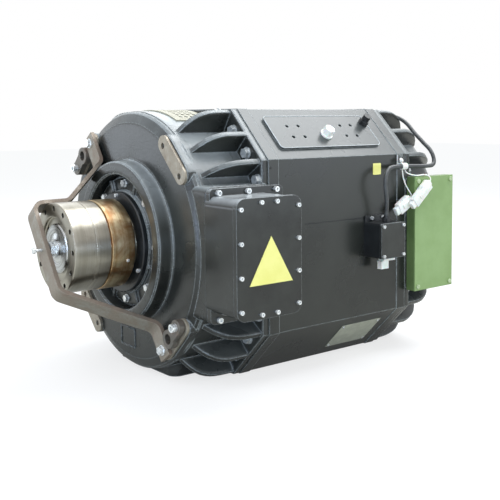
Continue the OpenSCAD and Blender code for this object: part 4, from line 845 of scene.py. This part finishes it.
# The rubbed rim of the machined pad on the chamfer: a thin pale line with
# round corners.
def addPadRim(v):
    bpy.ops.object.select_all(action="DESELECT")
    bpy.ops.mesh.primitive_plane_add(size=1)
    rim = bpy.context.object
    rim.scale = (v["long"] * mm, v["wide"] * mm, 1)
    settle(rim)
    bpy.ops.object.mode_set(mode="EDIT")
    bpy.ops.mesh.select_all(action="SELECT")
    bpy.ops.mesh.bevel(offset=v["corner"] * mm, segments=v["cornerSteps"], affect="VERTICES")
    bpy.ops.mesh.delete(type="ONLY_FACE")
    bpy.ops.object.mode_set(mode="OBJECT")
    bpy.ops.object.convert(target="CURVE")
    rim.data.bevel_depth, rim.data.bevel_resolution = v["thick"] * mm, v["roundness"]
    bpy.ops.object.convert(target="MESH")
    out = v["inset"] - v["rise"] * v["slant"]
    rim.rotation_euler = (math.radians(v["turn"]), 0, 0)
    rim.location = Vector((v["x"], nearSide + out, topSide - out)) * mm
    settle(rim)
    bpy.ops.object.shade_smooth()
    dress(rim, "padRim", rubbedEnamel)


addPadRim(rimValues)


seamValues = {"x": 593.0, "z": 46.0, "long": 215.0, "tall": 1.6, "rise": 0.25, "edge": 0.2}


def addWeldSeam(v):  # a faint raised line on the near side
    seam = addBlock((v["long"], v["rise"] * 2, v["tall"]), (v["x"], nearSide, v["z"]), v["edge"])
    dress(seam, "weldSeam", blackAbs)


addWeldSeam(seamValues)


# The bronze ring's set screw, some degrees below the near side of the ring.
setScrewValues = {"x": 133.0, "below": 16.0, "radius": 4.2, "rise": 1.6}


def addSetScrew(v):
    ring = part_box("spacer_ring")
    reach = (ring[1][2] - ring[0][2]) / 2 / mm - v["rise"]
    turn = math.radians(v["below"])
    screw = addDisc(v["radius"], v["rise"] * 4, (0, 0, 0))
    screw.location = Vector((v["x"], -reach * math.cos(turn), -reach * math.sin(turn))) * mm
    screw.rotation_euler = (turn, 0, 0)
    settle(screw)
    dress(screw, "ringSetScrew", zinc, "rotor")


addSetScrew(setScrewValues)


castFrameValues = {
    "y": 18.0,
    "z": -242.0,
    "wide": 66.0,
    "tall": 46.0,
    "line": 4.0,
    "rise": 2.2,
    "edge": 1.0,
}


# A rectangle of thin lines cast on the drive end face.
def addCastFrame(v):
    x, y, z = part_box("mounting_pads")[1][0] / mm, v["y"], v["z"]
    across = (v["rise"] * 2, v["wide"], v["line"])
    upright = (v["rise"] * 2, v["line"], v["tall"])
    bars = [addBlock(across, (x, y, z + k * v["tall"] / 2), v["edge"]) for k in (-1, 1)]
    bars += [addBlock(upright, (x, y + k * v["wide"] / 2, z), v["edge"]) for k in (-1, 1)]
    dress(join(bars), "castFrame", castEnamel)


addCastFrame(castFrameValues)


# Larger heads for the four screws of the green lid.
headValues = {"radius": 6.2, "tall": 4.8, "inset": 5.0, "sunk": 0.4}


def addLidScrewHeads(v):
    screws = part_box("auxiliary_lid_screws")
    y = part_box("auxiliary_box_lid")[0][1] / mm - v["tall"] / 2 + v["sunk"]
    heads = []
    for xEnd, xWay in ((0, 1), (1, -1)):
        for zEnd, zWay in ((0, 1), (1, -1)):
            middle = (screws[xEnd][0] / mm + xWay * v["inset"], y,
                      screws[zEnd][2] / mm + zWay * v["inset"])
            heads.append(addDisc(v["radius"], v["tall"], middle))
    dress(join(heads), "lidScrewHeads", screwGreen,
          replaced=("auxiliary_lid_screws",))


addLidScrewHeads(headValues)


# The screw on the cable clip: a flat head with a narrower tip through it.
clipScrewValues = {
    "middle": (800.0, -338.0, 186.0),
    "radius": 6.5,
    "thick": 7,
    "tip": 0.6,  # share of the radius
    "long": 12,
}


def addClipScrew(v):
    parts = [addDisc(v["radius"], v["thick"], v["middle"]),
             addDisc(v["radius"] * v["tip"], v["long"], v["middle"])]
    dress(join(parts), "clipScrew", zinc)


addClipScrew(clipScrewValues)
print("small pieces")


stageValues = {
    "size": 30,
    "along": 0.4,  # the floor's middle, near the middle of the machine
    "gap": 0.0005,
    "floorTone": "#ffffff",
    "floorShade": "#b4b2a7",
    "glow": 0.73,
    "mirrored": 0.18,  # how white the floor is in what mirrors it
    "skyTone": "#e9eff3",
    "sky": 1.0,
}


# White paper to the eye, with a duller bounce on the machine.
def makeFloor(v):
    bpy.ops.object.select_all(action="DESELECT")
    bpy.ops.mesh.primitive_plane_add(size=v["size"],
                                     location=(v["along"], 0, cadBox[0][2] - v["gap"]))
    floor = bpy.context.object
    floor.name = "floor"
    m, t = startMaterial("studio_floor")
    rays = addNode(t, "LightPath").outputs
    mirrored = addNode(t, "Math", {"operation": "MULTIPLY", 1: v["mirrored"]},
                       {0: rays["Is Glossy Ray"]}).outputs[0]
    seen = addNode(t, "Math", {"operation": "MAXIMUM"},
                   {0: rays["Is Camera Ray"], 1: mirrored}).outputs[0]
    seen = addNode(t, "Math", {"operation": "MAXIMUM"},
                   {0: seen, 1: rays["Is Transmission Ray"]}).outputs[0]
    tone = addNode(t, "Mix", {"data_type": "RGBA", 6: v["floorShade"], 7: v["floorTone"]},
                   {0: seen}).outputs[2]
    share = addNode(t, "Math", {"operation": "MULTIPLY", 1: v["glow"]}, {0: seen}).outputs[0]
    matt = addNode(t, "BsdfDiffuse", {}, {"Color": tone}).outputs[0]
    glow = addNode(t, "Emission", {"Color": "#ffffff", "Strength": 1.0}).outputs[0]
    both = addNode(t, "MixShader", {}, {0: share, 1: matt, 2: glow}).outputs[0]
    addNode(t, "OutputMaterial", {}, {"Surface": both})
    floor.data.materials.append(m)


# Plain white behind the machine, and the tone of a hall in the light on it.
def makeWorld(v):
    world = bpy.data.worlds.new("studio")
    bpy.context.scene.world = world
    world.use_nodes = True
    w = world.node_tree
    w.nodes.clear()
    rays = addNode(w, "LightPath").outputs
    seen = addNode(w, "Math", {"operation": "MAXIMUM"},
                   {0: rays["Is Camera Ray"], 1: rays["Is Transmission Ray"]}).outputs[0]
    seen = addNode(w, "Math", {"operation": "MAXIMUM"},
                   {0: seen, 1: rays["Is Glossy Ray"]}).outputs[0]
    hall = addNode(w, "Background", {"Color": v["skyTone"], "Strength": v["sky"]}).outputs[0]
    plain = addNode(w, "Background", {"Color": "#ffffff", "Strength": 1.0}).outputs[0]
    both = addNode(w, "MixShader", {}, {0: seen, 1: hall, 2: plain}).outputs[0]
    addNode(w, "OutputWorld", {}, {"Surface": both})


makeFloor(stageValues)
makeWorld(stageValues)


# Soft lamps: two overhead and a skylight behind, one window on the near side and
# one at the drive end, and two low doors that draw the bright lines on edges.
lampValues = {
    "roof_light": {"at": (2.0, -0.2, 3.0), "aim": (0.4, -0.1, 0.2), "size": (3.2, 2.4),
                   "watts": 138, "tone": "#f4f7f9"},
    "front_light": {"at": (-1.6, -1.0, 2.6), "aim": (0.0, 0.0, 0.1), "size": (1.6, 1.2),
                    "watts": 30, "tone": "#eef4ff"},
    "window": {"at": (-1.6, -3.3, 0.15), "aim": (0.2, -0.3, 0.0), "size": (0.5, 0.9),
               "watts": 40, "tone": "#bcd4f4"},
    "end_window": {"at": (-2.8, -0.1, 0.35), "aim": (0.2, -0.2, 0.05), "size": (0.35, 1.3),
                   "watts": 26, "tone": "#c4dafa"},
    "near_door": {"at": (3.4, -4.4, 0.22), "aim": (0.6, -0.3, 0.0), "size": (3.0, 1.05),
                  "watts": 24, "tone": "#e3eefb"},
    "far_door": {"at": (-2.9, 4.4, 0.27), "aim": (0.1, 0.0, 0.0), "size": (3.0, 1.15),
                 "watts": 23, "tone": "#e3eefb"},
    "rear_skylight": {"at": (2.6, 2.3, 2.2), "aim": (0.4, 0.0, 0.2), "size": (3.0, 2.0),
                      "watts": 34, "tone": "#f2f6fa"},
}


def addLamp(name, v):
    data = bpy.data.lights.new(name, "AREA")
    data.shape, data.energy = "RECTANGLE", v["watts"]
    data.size, data.size_y = v["size"]
    data.color = hexColor(v["tone"])[:3]
    obj = bpy.data.objects.new(name, data)
    bpy.context.scene.collection.objects.link(obj)
    obj.location = v["at"]
    aim = Vector(v["aim"]) - Vector(v["at"])
    obj.rotation_euler = aim.to_track_quat("-Z", "Y").to_euler()


for name, values in lampValues.items():
    addLamp(name, values)
print("floor, sky and lamps")

bpy.context.scene.view_settings.view_transform = "Standard"
